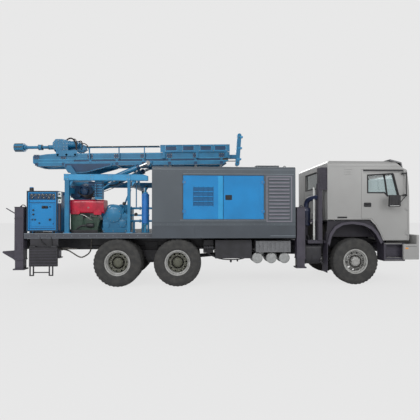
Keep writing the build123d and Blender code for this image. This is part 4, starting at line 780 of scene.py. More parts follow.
# %% Canopy doors
cover_blue = enamel("cover_strip_enamel", "#2a9bd4", "#258fc6", 0.33, 0.4, 300)
vent_blue = enamel("vent_blue_enamel", "#14669a", "#125b8a", 0.4, 0.2, 160)
louvre_grey = enamel("louvre_grey_enamel", "#7b7984", "#73717b", 0.42, 0.25, 200)
for side_name, side in sides:
    rear_leaf, front_leaf = f"hatch_{side_name}_rear", f"hatch_{side_name}_front"
    gauze = Shape(side)
    pitch = (2348 - 1891) / 4
    for i in range(4):
        z = 1891 + pitch * i
        gauze.plate(rectangle(-3922, -3467, z + 13, z + pitch - 13), 1228.5, 1231)
        for k in range(23):
            x = -3910 + 19.6 * k
            gauze.plate(rectangle(x, x + 6, z + 14, z + pitch - 14), 1230, 1234)
    for x in (-3812, -3700, -3588):
        gauze.plate(rectangle(x, x + 12, 1880, 2358), 1240, 1251.5)
    gauze.plate(rectangle(-3934, -3924, 1880, 2358), 1248, 1252)
    gauze.plate(rectangle(-3465, -3450, 1880, 2358), 1248, 1252)
    piece(f"vent_gauze_{side_name}", gauze, vent_blue, rear_leaf, bevel=0)
    strip = Shape(side).plate(rounded(-3344, -3230, 1594, 2608, 5), 1248, 1253)
    piece(f"cover_strip_{side_name}", strip, cover_blue, rear_leaf, bevel=1.5)
    fold = ring(Shape(side), rectangle(-4165, -3227, 1588, 2615), -24, -17, 1248, 1252)
    fold.plate(rounded(-4120, -3950, 1640, 1646, 2), 1248, 1252)
    piece(f"rear_leaf_fold_{side_name}", fold, panel_blue, rear_leaf, bevel=1.5)
    fold = ring(Shape(side), rectangle(-3217, -2261, 1588, 2615), -24, -17, 1248, 1252)
    fold.plate(rounded(-2362, -2354, 1612, 2592, 2), 1248, 1252)
    piece(f"front_leaf_fold_{side_name}", fold, panel_blue, front_leaf, bevel=1.5)
    latch = Shape(side).plate(rounded(-3173, -3017, 2040, 2158, 14), 1247, 1254)
    ring(latch, rounded(-3166, -3024, 2047, 2151, 12), -10, 0, 1252, 1260)
    latch.plate(rounded(-3146, -3048, 2070, 2128, 10), 1252, 1265)
    latch.turned([(13, 0), (13, 8), (8, 10)], (-3064, 1262, 2099), OUT, 18)
    piece(f"flush_latch_{side_name}", latch, black_plastic, front_leaf, bevel=1.5)
    for leaf, pin_x, turn in ((rear_leaf, -4170, 1), (front_leaf, -2256, -1)):
        bolts = Shape(side)
        for z in (1770, 2460):
            for dx in (30, 50):
                for dz in (-16, 16):
                    bolts.bolt((pin_x + turn * dx, 1261.5, z + dz), OUT, 6, 5)
            bolts.turned([(11.6, 0), (11.6, 3), (8, 6)], (pin_x, 1262, z + 30), UP, 16)
        piece(f"hinge_bolts_{leaf}", bolts, zinc_plate, leaf, bevel=0)

# %% [markdown]
# The cooler breathes through twelve fixed louvres. Each blade is a folded strip, and behind them a
# black screen keeps dust out, so the gaps read as black. The blades are lofted from a bent profile,
# which gives the lit upper face and the shaded lip.

# %% Louvres and the dust screen
for side_name, side in sides:
    blades, screen = Shape(side), Shape(side)
    pitch = (2600 - 1534 - 60) / 12
    for i in range(12):
        z = 1534 + 30 + pitch * (i + 0.5)
        profile = [(1252, z - 14), (1253, z + 22), (1230, z + 36), (1216, z + 44), (1216, z + 40),
                   (1230, z + 31), (1248, z + 18), (1248, z - 14)]
        blades.plate(profile, -2136, -1644, "x")
    ring(blades, rectangle(-2184, -1596, 1534, 2600), -12, 14, 1248, 1253)
    for x in (-2172, -1608):
        for z in (1560, 1800, 2060, 2320, 2570):
            blades.bolt((x, 1252, z), OUT, 6, 5)
    piece(f"louvre_blades_{side_name}", blades, louvre_grey, "root", bevel=0.8)
    screen.plate(rectangle(-2180, -1600, 1538, 2596), 1206, 1211)
    for i in range(14):
        x = -2150 + 40 * i
        screen.plate(rectangle(x, x + 4, 1540, 2590), 1210, 1213)
    piece(f"dust_screen_{side_name}", screen, seal_rubber, "root", bevel=0)

# %% [markdown]
# The roof carries the raised exhaust hatch, lifting eyes and rows of rivets, and the end walls are
# stiffened by pressed ribs. They are seen only from above or behind, but the machine is judged from
# there as well.

# %% Roof and ends of the canopy
roof = Shape()
for x in (-4700, -4300, -3900, -3500, -3100, -2700):
    roof.plate(rounded(x, x + 40, -1120, 1120, 8), 2829, 2834, "z")
ring(roof, rectangle(-2333, -1766, -680, 680), 0, 14, 2829, 2836, "z")
for x in (-2296, -2180, -2060, -1940, -1820):
    roof.plate(rounded(x - 14, x + 14, -600, 600, 8), 2899, 2903, "z")
for y0 in (-1000, 1000):
    for x in (-4600, -1700):
        roof.tube([(x - 30, y0, 2828), (x - 30, y0, 2880), (x + 30, y0, 2880), (x + 30, y0, 2828)], 9)
for x in (-4898, -1497):
    for y in (-900, -300, 300, 900):
        low, high = (x - 2, x + 4) if x < -2000 else (x - 4, x + 2)
        roof.plate(rounded(y - 120, y + 120, 1500, 2600, 30), low, high, "x")
piece("canopy_roof_ribs", roof, canopy_grey, "root", bevel=1.5)
lid = Shape().plate(rounded(-2348, -1751, -692, 692, 40), 2902, 2936, "z")
for x in (-2260, -2140, -2020, -1900):
    lid.plate(rounded(x, x + 50, -560, 560, 14), 2934, 2941, "z")
for y in (-500, 500):
    lid.tube([(-1790, y, 2934), (-1790, y, 2960), (-1840, y, 2960), (-1840, y, 2934)], 8)
piece("exhaust_hatch_lid", lid, canopy_grey, "root", bevel=3)
rivets = Shape()
for _ in both_sides(rivets):
    for i in range(22):
        rivets.turned([(6, 0), (5, 2.5), (0.5, 3.5)], (-4850 + 158 * i, 1249.5, 2705), OUT, 8)
        rivets.turned([(6, 0), (5, 2.5), (0.5, 3.5)], (-4850 + 158 * i, 1252, 1470), OUT, 8)
piece("canopy_rivets", rivets, edge_grey, "root", bevel=0)
report_progress()

# %% [markdown]
# ## Under the deck
# Three air receivers lie side by side with bright dished ends, below the ribbed battery box. The
# dishes are turned from the shape of a pressed tank end, with a weld seam and a drain plug.

# %% Tank ends, battery box and fuel tank
ends = Shape()
for x in (-2379, -2036, -1716):
    ends.turned([(130, 0), (131, 10), (126, 22), (112, 30), (80, 36), (40, 39), (0.5, 40)],
                (x, -1022, 645), RIGHT, 40)
    ends.turned([(12, 36), (12, 48), (8, 50)], (x, -1022, 645), RIGHT, 6)
    ends.turned([(131, 0), (133, 4), (131, 8)], (x, -700, 645), RIGHT, 40)
piece("tank_ends", ends, enamel("tank_silver_enamel", "#a9abab", "#8f9190", 0.35, 0.3, 70),
      "root", bevel=0)
ribs = Shape()
for i in range(8):
    for k in range(5):
        z = 828 + 44 * k
        ribs.plate(rounded(-2400 + 100 * i - 2, -2400 + 100 * i + 26, z, z + 30, 5),
                   -1126, -1119)
ring(ribs, rectangle(-2420, -1590, 795, 1061), -8, 4, -1124, -1117)
ribs.box((-2424, -1124, 1058), (-1586, -556, 1066))
for x in (-2330, -1700):
    ribs.box((x, -1130, 900), (x + 50, -1118, 960))
piece("battery_box_ribs", ribs, box_grey, "root", bevel=1.5)
straps = Shape()
for x in (-2270, -1770):
    straps.loft([[at(x, y, z), at(x + 60, y, z)] + [at(x + 60, yy, zz), at(x, yy, zz)]
                 for y, z, yy, zz in ((560, 1064, 560, 1058), (1040, 1064, 1040, 1058),
                                      (1110, 1036, 1105, 1031), (1134, 970, 1128, 970),
                                      (1134, 570, 1128, 570), (1110, 504, 1105, 509),
                                      (1040, 476, 1040, 482), (560, 476, 560, 482))])
    straps.bolt((x + 30, 600, 1064), UP, 10, 9)
straps.turned([(60, 0), (60, 24), (52, 34), (30, 36), (0.5, 37)], (-2020, 1000, 1098), UP, 28)
piece("fuel_tank_straps", straps, zinc_plate, "root", bevel=1)
report_progress()

# %% [markdown]
# Behind the cab stand the air cleaner, a white coolant pipe and the intake duct with its grille.
# The cab's rear wall is pressed with ribs round a rubber-framed window. The front wheel arch is closed by
# dark plastic panels, whose darkness is partly painted shade, so no daylight shows between the cab's edge
# and the arch.

# %% Behind the cab
pipe = Shape().turned([(25, 0), (25, 1180)], (-970, -1000, 1078), UP, 20)
pipe.tube([(-970, -1000, 2255), (-970, -1000, 2320), (-960, -940, 2350), (-940, -880, 2352)], 23)
for z in (1180, 1700, 2200):
    pipe.turned([(27, 0), (31, 3), (31, 22), (27, 25)], (-970, -1000, z), UP, 20)
piece("coolant_pipe", pipe, signal_white, "root", bevel=0)
cleaner = Shape().turned([(60, -22), (96, -14), (106, 0), (106, 60), (102, 70), (102, 330), (107, 336),
                          (107, 360), (102, 366), (102, 416), (84, 434), (40, 440)], (-1088, -760, 1436),
                         UP, 36)
cleaner.tube([(-1088, -760, 1870), (-1088, -760, 1990), (-1060, -860, 2080), (-940, -1000, 2120),
              (-880, -1080, 2120)], 62, 16)
piece("air_cleaner_can", cleaner, enamel("cleaner_blue_enamel", "#2b3350", "#242b44", 0.4, 0.3, 160),
      "root", bevel=1)
grille = Shape()
for i in range(9):
    grille.box((-884, -1174, 2314 + 60 * i), (-704, -1166, 2326 + 60 * i))
ring(grille, rectangle(-879, -708, 2296, 2831), -10, 4, -1176, -1164)
for z in (1240, 1500, 1800, 2100):
    ring(grille, rectangle(-919, -823, -1160, -1000), 0, 5, z, z + 16, "z")
piece("intake_trim", grille, liner_plastic, "root", bevel=1.5)
wall = Shape()
ring(wall, rectangle(-500, 500, 2370, 2800), -14, 14, -706, -697, "x")
piece("rear_window_seal", wall, seal_rubber, "cab", bevel=1.5)
ribs = Shape()
for y in (-1050, -900, -750, -620, 620, 750, 900, 1050):
    ribs.plate(rounded(y - 22, y + 22, 1640, 2850, 18), -705, -698, "x")
for z in (1720, 1900, 2080, 2260):
    ribs.plate(rounded(-520, 520, z - 24, z + 24, 18), -705, -698, "x")
piece("rear_wall_ribs", ribs, cab_silver, "cab", bevel=2)
muffler = Shape()
for z in (1010, 1400, 1900, 2270):
    muffler.turned([(112, 0), (117, 4), (117, 26), (112, 30)], (-1110, 800, z), UP, 36)
muffler.tube([(-1110, 800, 2296), (-1110, 800, 2420), (-1150, 840, 2500), (-1220, 880, 2540)], 55, 16)
for k in range(12):
    for i in range(10):
        a = 2 * pi * (k + 0.5 * (i % 2)) / 12
        muffler.turned([(9, 0), (6, 2), (0.5, 2.5)], (-1110 + cos(a) * 110, 800 + sin(a) * 110,
                                                       1480 + 40 * i), (cos(a), sin(a), 0), 6)
piece("exhaust_shield", muffler, zinc_plate, "root", bevel=0)

# %% [markdown]
# Inner panels close the space behind each front arch, as pressed liners do on a real cab. Their
# near-black is partly the liners' own plastic and partly painted shade for the inside of the arch.

# %% Panels of the front arches
# Darker than the cab's liner plastic: the liners' own colour with painted shade for the inside of the
# arch
arch_liner_and_painted_shade = moulded("arch_liner_and_painted_shade_plastic", "#25222b", "#201e26", 0.6, 30, 0.2)
liner_line = [(520, 1270), (400, 1390), (200, 1480), (-100, 1521), (-350, 1490), (-520, 1400),
              (-640, 1230), (-700, 1000)]
for side_name, side in sides:
    filler = Shape(side).plate(liner_line + [(-726, 1000), (-716, 1300), (-700, 1551), (338, 1551),
                                             (452, 1436), (562, 1262)], 1150, 1158)
    shield = [(588, 1140), (500, 1270), (385, 1380), (190, 1468), (-100, 1508), (-340, 1478),
              (-505, 1390), (-622, 1225), (-640, 1140)]
    filler.plate(shield, 872, 880)
    for x, z in ((430, 1400), (200, 1512), (-100, 1538), (-400, 1520), (-620, 1400), (-690, 1150)):
        filler.bolt((x, 1157, z), OUT, 8, 6)
    arc = Shape(side)
    outer = [(650, 1040), (594, 1136), (514, 1274), (396, 1394), (198, 1486), (-100, 1527),
             (-354, 1496), (-526, 1404), (-648, 1232), (-706, 1000)]
    for (xa, za), (xb, zb) in zip(outer, outer[1:]):
        arc.plate([(xa, za), (xb, zb), (xb * 0.93, zb - 56), (xa * 0.93, za - 56)], 1186, 1194)
    piece(f"arch_panels_{side_name}", filler, arch_liner_and_painted_shade, "root", bevel=1.5)
    piece(f"arch_rim_{side_name}", arc, jack_grey, "root", bevel=2)

# %% [markdown]
# Air valves hang below the frame on both sides, and a silencer hangs behind the right front
# wheel.

# %% Valves and silencer under the frame
cluster = Shape()
for _ in both_sides(cluster):
    cluster.box((-3680, 620, 760), (-3440, 900, 1070))
    for i in range(4):
        cluster.turned([(30, 0), (36, 6), (36, 90), (30, 100), (0.5, 102)], (-3650 + 60 * i, 900, 900),
                       OUT, 18)
    cluster.tube([(-3660, 960, 820), (-3560, 990, 740), (-3300, 1000, 620), (-3000, 1000, 600),
                  (-2700, 990, 620), (-2500, 900, 700)], 14)
    cluster.turned([(20, 0), (26, 6), (26, 40), (14, 60)], (-3020, 1000, 596), (0, 0, -1), 14)
    cluster.turned([(16, 0), (20, 6), (20, 30), (10, 44)], (-2860, 1000, 600), (0, 0, -1), 14)
piece("valve_cluster", cluster, chassis_black, "root", bevel=2)
silencer = Shape().plate(rounded(-1010, -560, 480, 1010, 150), -1236, -800, "x")
for x in (-1180, -1030, -880):
    ring(silencer, rounded(-1010, -560, 480, 1010, 150), -1, 7, x, x + 34, "x")
silencer.tube([(-1020, -800, 980), (-1020, -800, 1080), (-1060, -780, 1180)], 50, 16)
silencer.rod((-820, -980, 560), (-760, -1010, 500), 32, 20)
piece("side_silencer", silencer, chassis_black, "root", bevel=3)
report_progress()

# %% [markdown]
# Trucks are full of small running gear: spring clamps, brake chambers, hub seals, propeller shaft
# joints and pipes along the rails. They lie in shade under the deck, so simple turned and bent
# shapes are enough, but without them the gap between wheels and frame looks empty.

# %% Springs, brakes and pipes
gear, pipes = Shape(), Shape()
for _ in both_sides(gear, pipes):
    for x in (-70, 70):
        gear.tube([(x, 395, 470), (x, 395, 760), (x, 475, 760), (x, 475, 470)], 11)
    for x in (middle_axle, rear_axle):
        gear.turned([(62, 0), (84, 14), (88, 40), (88, 70), (80, 90), (30, 100), (18, 130)],
                    (x + 190, 520, 640), BACK, 24)
    gear.turned([(58, 0), (78, 14), (80, 60), (66, 84), (18, 96)], (-150, 600, 760), FORWARD, 20)
    pipes.tube([(1050, 350, 1010), (0, 350, 1010), (-1400, 350, 1010), (-3200, 350, 1000),
                (-5200, 350, 1000), (-7600, 350, 1010)], 11)
    pipes.tube([(-2600, 436, 900), (-3400, 440, 900), (-3700, 440, 860), (-4200, 440, 900),
                (-6600, 440, 900)], 9)
piece("running_gear", gear, chassis_black, "root", bevel=1)
piece("frame_pipes", pipes, hose_rubber, "root", bevel=0)
drain = Shape().tube([(-7060, -900, 860), (-6946, -900, 847), (-6840, -900, 780),
                      (-6646, -900, 653), (-6540, -900, 690), (-6428, -900, 766),
                      (-6380, -900, 900), (-6380, -900, 1150)], 16)
drain.tube([(-7300, -1000, 908), (-7000, -1000, 905), (-6700, -1000, 880)], 12)
drain.turned([(24, 0), (28, 10), (28, 40), (20, 50)], (-7060, -900, 862), BACK, 20)
drain.turned([(34, 0), (34, 60), (20, 70)], (-7300, -1000, 908), BACK, 20)
piece("drain_pipe", drain, worn_steel, "root", bevel=0)

# %% [markdown]
# The deck edge is a folded channel with a bright worn strip on top, and lamps close the tail. The
# platform at the side is ribbed sheet, with two loop rungs below it. Its ribs and bolts ride on the
# platform, because it folds down.

# %% Deck edge, tail lamps and platform
trim = Shape()
for _ in both_sides(trim):
    trim.box((-7836, 1196, 1248), (-4900, 1204, 1262))
    trim.box((-7836, 1198, 1144), (-4900, 1205, 1152))
    for i in range(15):
        trim.bolt((-7700 + 190 * i, 1200, 1200), OUT, 9, 7)
piece("deck_edge", trim, edge_grey, "root", bevel=1.5)
tread = Shape()
for i in range(15):
    for k in range(9):
        x, y = -7120 + 150 * i, -1000 + 250 * k
        tread.plate([(x, y), (x + 46, y + 26), (x + 50, y + 20), (x + 4, y - 6)], 1263, 1266, "z")
piece("deck_tread_pattern", tread, deck_grey, "root", bevel=0)
tail_red, tail_white = Shape(), Shape()
for _ in both_sides(tail_red, tail_white):
    tail_red.plate(rounded(760 - 90, 760 + 90, 1168, 1238, 12), -7852, -7838, "x")
    tail_white.plate(rounded(560 - 50, 560 + 50, 1168, 1238, 12), -7850, -7838, "x")
piece("tail_lamps", tail_red, red_lens, "root", bevel=2)
piece("reversing_lamps", tail_white, clear_lens, "root", bevel=2)
plates = Shape()
for i in range(6):
    z = 540 + 66 * i
    plates.plate(rounded(-7692, -7068, z, z + 14, 5), -1256, -1249)
for x in (-7680, -7080):
    for z in (520, 700, 900):
        plates.bolt((x, -1250, z), RIGHT, 9, 7)
piece("platform_ribs", plates, jack_grey, "platform", bevel=1.5)
report_progress()

# %% [markdown]
# ## Jacks
# Four jacks stand at the corners of the chassis. Each is a square sleeve on a bolted bracket, with a
# hydraulic hose at its top, and the leg inside it ends in a round-cornered foot plate.

# %% Jack fittings
fittings = Shape()
for _ in both_sides(fittings):
    for x in (-7955, -1352):
        fittings.plate(rounded(x - 112, x + 112, 1095 - 112, 1095 + 112, 14), 1862, 1876, "z")
        ring(fittings, rounded(x - 100, x + 100, 1095 - 100, 1095 + 100, 4), 0, 10, 640, 668, "z")
        ring(fittings, rounded(x - 100, x + 100, 1095 - 100, 1095 + 100, 4), 0, 8, 1600, 1620, "z")
        fittings.turned([(26, 0), (26, 24), (18, 28)], (x, 1095, 1872), UP, 6)
        for z in (900, 960, 1020):
            for dx in (-60, 60):
                fittings.bolt((x + dx, 1196, z), OUT, 11, 9)
        fittings.tube([(x, 1095, 1890), (x + 20, 1090, 1935), (x + 90, 1040, 1900), (x + 108, 1020, 1700),
                       (x + 108, 1010, 1300)], 10)
piece("jack_fittings", fittings, jack_grey, "root", bevel=1.5)
for side_name, side in sides:
    for row, x in (("rear", -7955), ("front", -1352)):
        pads = Shape(side)
        pads.turned([(9, 0), (9, 6), (16, 8), (16, 10), (9, 12)], (x - 105, 1095, 438), UP, 12)
        for dx, dy in ((-90, 0), (90, 0)):
            pads.plate([(x + dx, 446), (x + dx * 0.99, 500), (x + dx * 1.28, 446)], 1090, 1100)
        pads.box((x - 93, 1095 - 40, 520), (x - 89, 1095 + 40, 600))
        piece(f"jack_foot_{row}_{side_name}", pads, worn_steel, f"jack_{row}_{side_name}",
              bevel=1)

# %% [markdown]
# ## The control cabinet
# The operator works at a blue cabinet on the tail. A row of gauges and lamps sits in a dark band at
# the top, and knobs and valves below it. A gauge is a turned steel case with a dark face, a few
# pale ticks and a needle. A white and green switch box hangs on its side, and a dark
# frame runs all round its lid.

# %% Cabinet frame, band and gauges
PANEL = -1165
case = ring(Shape(), rectangle(-7780, -7091, 1310, 2240), -26, 5, -1196, -1186)
case.plate(rectangle(-7786, -7086, -1196, -556), 2238, 2247, "z")
case.plate(rectangle(-7786, -7778, 1310, 2240), -1192, -562)
piece("cabinet_frame", case, enamel("cabinet_edge_enamel", "#173a52", "#122d40", 0.4, 0.3, 150),
      "root", bevel=2)
band = Shape().plate(rounded(-7728, -7143, 2040, 2184, 8), PANEL - 5, PANEL + 1)
band.plate(rounded(-7728, -7143, 1972, 1984, 4), PANEL - 6, PANEL + 1)
band.plate(rounded(-7728, -7143, 1366, 1376, 3), PANEL - 4, PANEL + 1)
piece("gauge_band", band, deep_blue, "root", bevel=1)
cases, faces, needles = Shape(), Shape(), Shape()
for row, (z, count, radius) in enumerate(((2146, 7, 24), (2082, 5, 20))):
    for i in range(count):
        x = -7680 + (500 / (count - 1)) * i + (20 if row else 0)
        y = PANEL - 5
        cases.turned([(radius, 0), (radius + 3, 6), (radius + 3, 14), (radius - 2, 16), (radius - 3, 10),
                      (0.5, 9)], (x, y, z), RIGHT, 24)
        faces.turned([(radius - 3, 0), (radius - 3, 1.5), (0.5, 1.6)], (x, y - 10, z), RIGHT, 24)
        for k in range(7):
            a = pi * (1.15 - 1.3 * k / 6)
            needles.plate([(x + cos(a) * radius * 0.62 - 0.6, z + sin(a) * radius * 0.62 - 0.6),
                           (x + cos(a) * radius * 0.8 - 0.6, z + sin(a) * radius * 0.8 - 0.6),
                           (x + cos(a) * radius * 0.8 + 0.9, z + sin(a) * radius * 0.8 + 0.9),
                           (x + cos(a) * radius * 0.62 + 0.9, z + sin(a) * radius * 0.62 + 0.9)],
                          y - 12.4, y - 11.6)
        a = 2.4 - 0.35 * i
        needles.plate([(x - 1, z - 2), (x + 1, z + 2),
                       (x + cos(a) * radius * 0.6, z + sin(a) * radius * 0.6)], y - 14, y - 12.5)
piece("gauge_cases", cases, zinc_plate, "root", bevel=0)
piece("gauge_faces", faces, gauge_face, "root", bevel=0)
piece("gauge_needles", needles, signal_white, "root", bevel=0)

# %% [markdown]
# Lever valves and knobs stand below the band. The beacon is a dark turned cover.

# %% Valves, switch box, beacon and cabinet details
knobs = Shape()
for x, z, size in ((-7640, 1800, 20), (-7640, 1700, 20), (-7600, 1580, 18), (-7660, 1580, 14),
                   (-7420, 1868, 26), (-7340, 1868, 26), (-7260, 1580, 24), (-7260, 1880, 14),
                   (-7500, 1500, 16)):
    knobs.turned([(8, 0), (8, 10), (size, 12), (size * 1.1, 18), (size, 26), (size * 0.5, 28)],
                 (x, PANEL, z), RIGHT, 12)
for x in (-7640, -7540, -7440, -7340, -7240):
    knobs.turned([(9, -8), (13, 0), (13, 12), (8, 20), (0.5, 22)], (x, -1188, 2077), (0, -1, 0.7), 16)
knobs.plate(rounded(-7450, -7310, 1836, 1900, 10), PANEL - 3, PANEL)
piece("cabinet_knobs", knobs, black_plastic, "root", bevel=0.8)
sheet_lines = ring(Shape(), rounded(-7700, -7170, 1410, 1950, 12), -5, 0, PANEL - 2.5, PANEL)
sheet_lines.turned([(14, 0), (14, 5), (9, 7)], (-7190, PANEL, 1480), RIGHT, 16)
piece("cabinet_door_fold", sheet_lines, deep_blue, "root", bevel=0.8)
switch = Shape().box((-7092, -1156, 1960), (-7012, -1049, 2226))
piece("switch_box_skin", switch, signal_white, "root", bevel=6)
switch = Shape().box((-7090, -1159, 2060), (-7014, -1150, 2110))
switch.turned([(18, 0), (20, 4), (14, 14), (0.5, 16)], (-7052, -1156, 2170), RIGHT, 20)
switch.turned([(16, 0), (18, 4), (12, 14), (0.5, 16)], (-7052, -1156, 2010), RIGHT, 20)
piece("switch_box_front", switch, engine_green, "root", bevel=1.5)
side_bay = Shape().box((-7088, -1150, 1330), (-7036, -1090, 1950))
for z in (1450, 1560, 1670, 1780, 1890):
    side_bay.box((-7090, -1155, z), (-7034, -1086, z + 14))
piece("cabinet_side_duct", side_bay, jack_grey, "root", bevel=2)
beacon = Shape().turned([(50, -2), (50, 16), (47, 22), (47, 60), (42, 84), (28, 96), (0.5, 99)],
                        (-7715, -1100, 2242), UP, 28)
piece("beacon_cover", beacon, black_plastic, "root", bevel=0)
feet = Shape()
for x in (-7740, -7211):
    for y in (-1150, -620):
        feet.turned([(24, 0), (30, 6), (30, 30), (24, 46)], (x + 40, y + 10, 1264), UP, 20)
feet.box((-7600, -1178, 1268), (-7300, -1150, 1300))
feet.tube([(-7500, -1150, 1290), (-7480, -1190, 1200), (-7440, -1206, 1060), (-7350, -1206, 1000),
           (-7300, -1150, 960)], 13)
feet.tube([(-7250, -1150, 1290), (-7230, -1192, 1210), (-7200, -1206, 1080), (-7190, -1190, 900)], 11)
piece("cabinet_feet_and_hoses", feet, hose_rubber, "root", bevel=0)
report_progress()

# %% [markdown]
# ## The mud engine and the pump
# The small diesel has a red tank and shroud over a dark green crankcase. Its cylinder head has
# cooling fins, and a white filler cap, an exhaust silencer and a bright lever complete it. Fins are
# thin plates set every 22 millimetres, which is a real pitch for such a casting.

# %% Engine
case = Shape()
for i in range(9):
    case.box((-6850 + 6 * i, -985, 1352 + 22 * i), (-6236, -655, 1360 + 22 * i))
case.turned([(120, 0), (128, 12), (110, 26), (60, 40), (0.5, 44)], (-6430, -978, 1530), RIGHT, 28)
case.box((-6700, -1000, 1560), (-6560, -978, 1700))
case.plate([(-6850, 1345), (-6850, 1725), (-6600, 1725), (-6560, 1560), (-6600, 1345)], -990, -979)
piece("engine_crankcase", case, engine_green, "root", bevel=3)
dark = Shape()
for i in range(11):
    dark.box((-6560 + 22 * i, -1004, 1588), (-6550 + 22 * i, -900, 1718))
dark.turned([(46, 0), (52, 20), (52, 150), (40, 172)], (-6300, -1000, 1440), BACK, 20)
dark.tube([(-6460, -1004, 1440), (-6560, -1006, 1440), (-6640, -1010, 1400), (-6700, -1016, 1352)], 18)
dark.box((-6873, -1026, 1262), (-6200, -1018, 1330))
for x in (-6840, -6540, -6240):
    dark.bolt((x, -1024, 1300), RIGHT, 12, 10)
piece("engine_fins_and_exhaust", dark, chassis_black, "root", bevel=1.5)
red = Shape()
section = rounded(-1034, -636, 1726, 2049, 64, 6)
red.plate(section, -6877, -6061, "x")
for x in (-6780, -6600, -6420, -6240):
    ring(red, section, -1, 4, x, x + 14, "x")
red.plate(rounded(-6300, -6110, 1690, 1790, 30), -1044, -1020)
red.plate(rounded(-6840, -6620, 1705, 1780, 30), -1042, -1020)
piece("engine_tank_skin", red, engine_red, "root", bevel=4)
cap = Shape().turned([(50, 0), (54, 6), (54, 44), (48, 54), (0.5, 57)], (-6352, -835, 2058), UP, 28)
cap.turned([(24, 0), (24, 70), (18, 80)], (-6352, -760, 2044), UP, 16)
piece("filler_cap", cap, signal_white, "root", bevel=1)
bright = Shape()
bright.turned([(30, 0), (30, 12), (20, 20), (0.5, 22)], (-6420, -1016, 1860), RIGHT, 24)
bright.tube([(-6600, -1030, 1700), (-6500, -1050, 1680), (-6400, -1050, 1600), (-6330, -1030, 1560)], 9)
for i in range(5):
    bright.rod((-6380 + 34 * i, -990, 1720), (-6372 + 34 * i, -1012, 1640), 7, 8)
piece("engine_fittings", bright, zinc_plate, "root", bevel=0)
fly = Shape().turned([(196, -4), (204, 4), (204, 96), (196, 104), (150, 104), (146, 80), (60, 76),
                      (56, 110), (0.5, 112)], (-6560, -560, 1560), OUT, 40)
piece("engine_flywheel", fly, cast_iron, "root", bevel=0)

# %% [markdown]
# The mud pump next to it is cast in one hump-backed case. It has bolted covers, two valve pots and
# a small air dome, all in the same blue. The covers and flanges are turned.

# %% Mud pump
pump = Shape()
pump.turned([(175, 0), (182, 8), (182, 26), (150, 34), (120, 36), (60, 50), (0.5, 54)],
            (-5850, -898, 1690), RIGHT, 40)
pump.turned([(90, 0), (96, 8), (96, 22), (60, 30), (0.5, 34)], (-5640, -898, 1480), RIGHT, 32)
pump.turned([(70, 0), (74, 8), (74, 20), (0.5, 26)], (-6030, -898, 1440), RIGHT, 28)
for x in (-5720, -5600):
    pump.turned([(58, -60), (58, 0), (70, 4), (70, 26), (56, 30), (56, 120), (66, 124), (66, 140),
                 (40, 160), (0.5, 166)], (x, -700, 1780), UP, 28)
pump.turned([(52, -60), (66, -20), (70, 10), (60, 60), (30, 78), (0.5, 80)], (-5810, -640, 1850), UP, 28)
for i in range(4):
    z = 1400 + 70 * i
    pump.plate(rectangle(-6106, -5536, z, z + 14), -912, -898)
pump.plate(rounded(-6118, -5524, 1318, 1372, 10), -925, -498)
piece("pump_covers", pump, rig_blue, "root", bevel=2)
studs = Shape()
for i in range(12):
    a = 2 * pi * i / 12
    studs.bolt((-5850 + cos(a) * 160, -926, 1690 + sin(a) * 160), RIGHT, 8, 9)
for i in range(6):
    a = 2 * pi * i / 6
    studs.bolt((-5640 + cos(a) * 80, -920, 1480 + sin(a) * 80), RIGHT, 7, 8)
for x in (-6080, -5860, -5570):
    studs.bolt((x, -920, 1300), RIGHT, 13, 12)
piece("pump_studs", studs, zinc_plate, "root", bevel=0)
belt = Shape().turned([(205, -4), (218, 0), (210, 18), (218, 36), (210, 54), (218, 72), (218, 92),
                       (200, 96), (70, 96), (60, 104), (0.5, 106)], (-5880, -525, 1600), OUT, 48)
piece("pump_belt_wheel", belt, cast_iron, "root", bevel=0)

# %% [markdown]
# Air, water and oil run in rigid painted pipes between the pump, the line oiler and the canopy. A
# pipe is a NURBS curve with a round bevel, which bends as a pipe bender does. The flanges and unions
# are turned, and a gate valve with a hand wheel stands on each run.

# %% Pipes, oiler and valves
lines = Shape()
for z in (1541, 1849):
    lines.tube([(-5531, -900, z), (-5400, -900, z), (-5250, -900, z), (-5000, -900, z),
                (-4898, -900, z)], 26)
    for x in (-5440, -5230, -4930):
        lines.turned([(40, 0), (46, 4), (46, 16), (40, 20)], (x, -900, z), FORWARD, 24)
lines.tube([(-5640, -900, 1720), (-5590, -940, 1900), (-5540, -950, 2060), (-5480, -950, 2200),
            (-5440, -950, 2300)], 20)
lines.tube([(-6000, -860, 1840), (-6010, -860, 1890), (-5960, -870, 1925), (-5840, -890, 1930),
            (-5700, -900, 1900), (-5640, -900, 1800)], 18)
lines.tube([(-5312, -900, 1849), (-5312, -900, 2000), (-5312, -900, 2443)], 14)
lines.tube([(-5091, -900, 2200), (-5091, -900, 2300), (-5080, -900, 2360)], 26)
for x in (-5360, -5150, -5020):
    lines.tube([(x, -930, 1266), (x, -930, 1400), (x, -930, 1541)], 24)
    lines.turned([(44, 0), (44, 14), (30, 20)], (x, -930, 1264), UP, 20)
lines.plate(rounded(-5420, -4990, 1660, 1700, 8), -940, -925)
piece("deck_pipes", lines, rig_blue, "root", bevel=1)
valves = Shape()
for x, y, z, axis in ((-5312, -930, 1700, RIGHT), (-5077, -900, 2373, UP), (-5590, -960, 1960, RIGHT)):
    valves.turned([(14, -30), (14, 0), (34, 2), (42, 8), (42, 22), (34, 28), (12, 30), (0.5, 34)],
                  (x, y, z), axis, 20)
piece("valve_wheels", valves, black_plastic, "root", bevel=0)
oiler = Shape()
oiler.turned([(62, -12), (90, 0), (92, 20), (90, 34)], (-5091, -900, 1486), UP, 32)
oiler.turned([(90, 0), (92, 14), (88, 40), (62, 60), (58, 66)], (-5091, -900, 2146), UP, 32)
oiler.turned([(89, 0), (89, 640)], (-5091, -900, 1500), UP, 32)
piece("oiler_bottle", oiler, enamel("oiler_blue_enamel", "#2f7fd0", "#2a6fba", 0.33, 0.4, 160),
      "root", bevel=1)
report_progress()

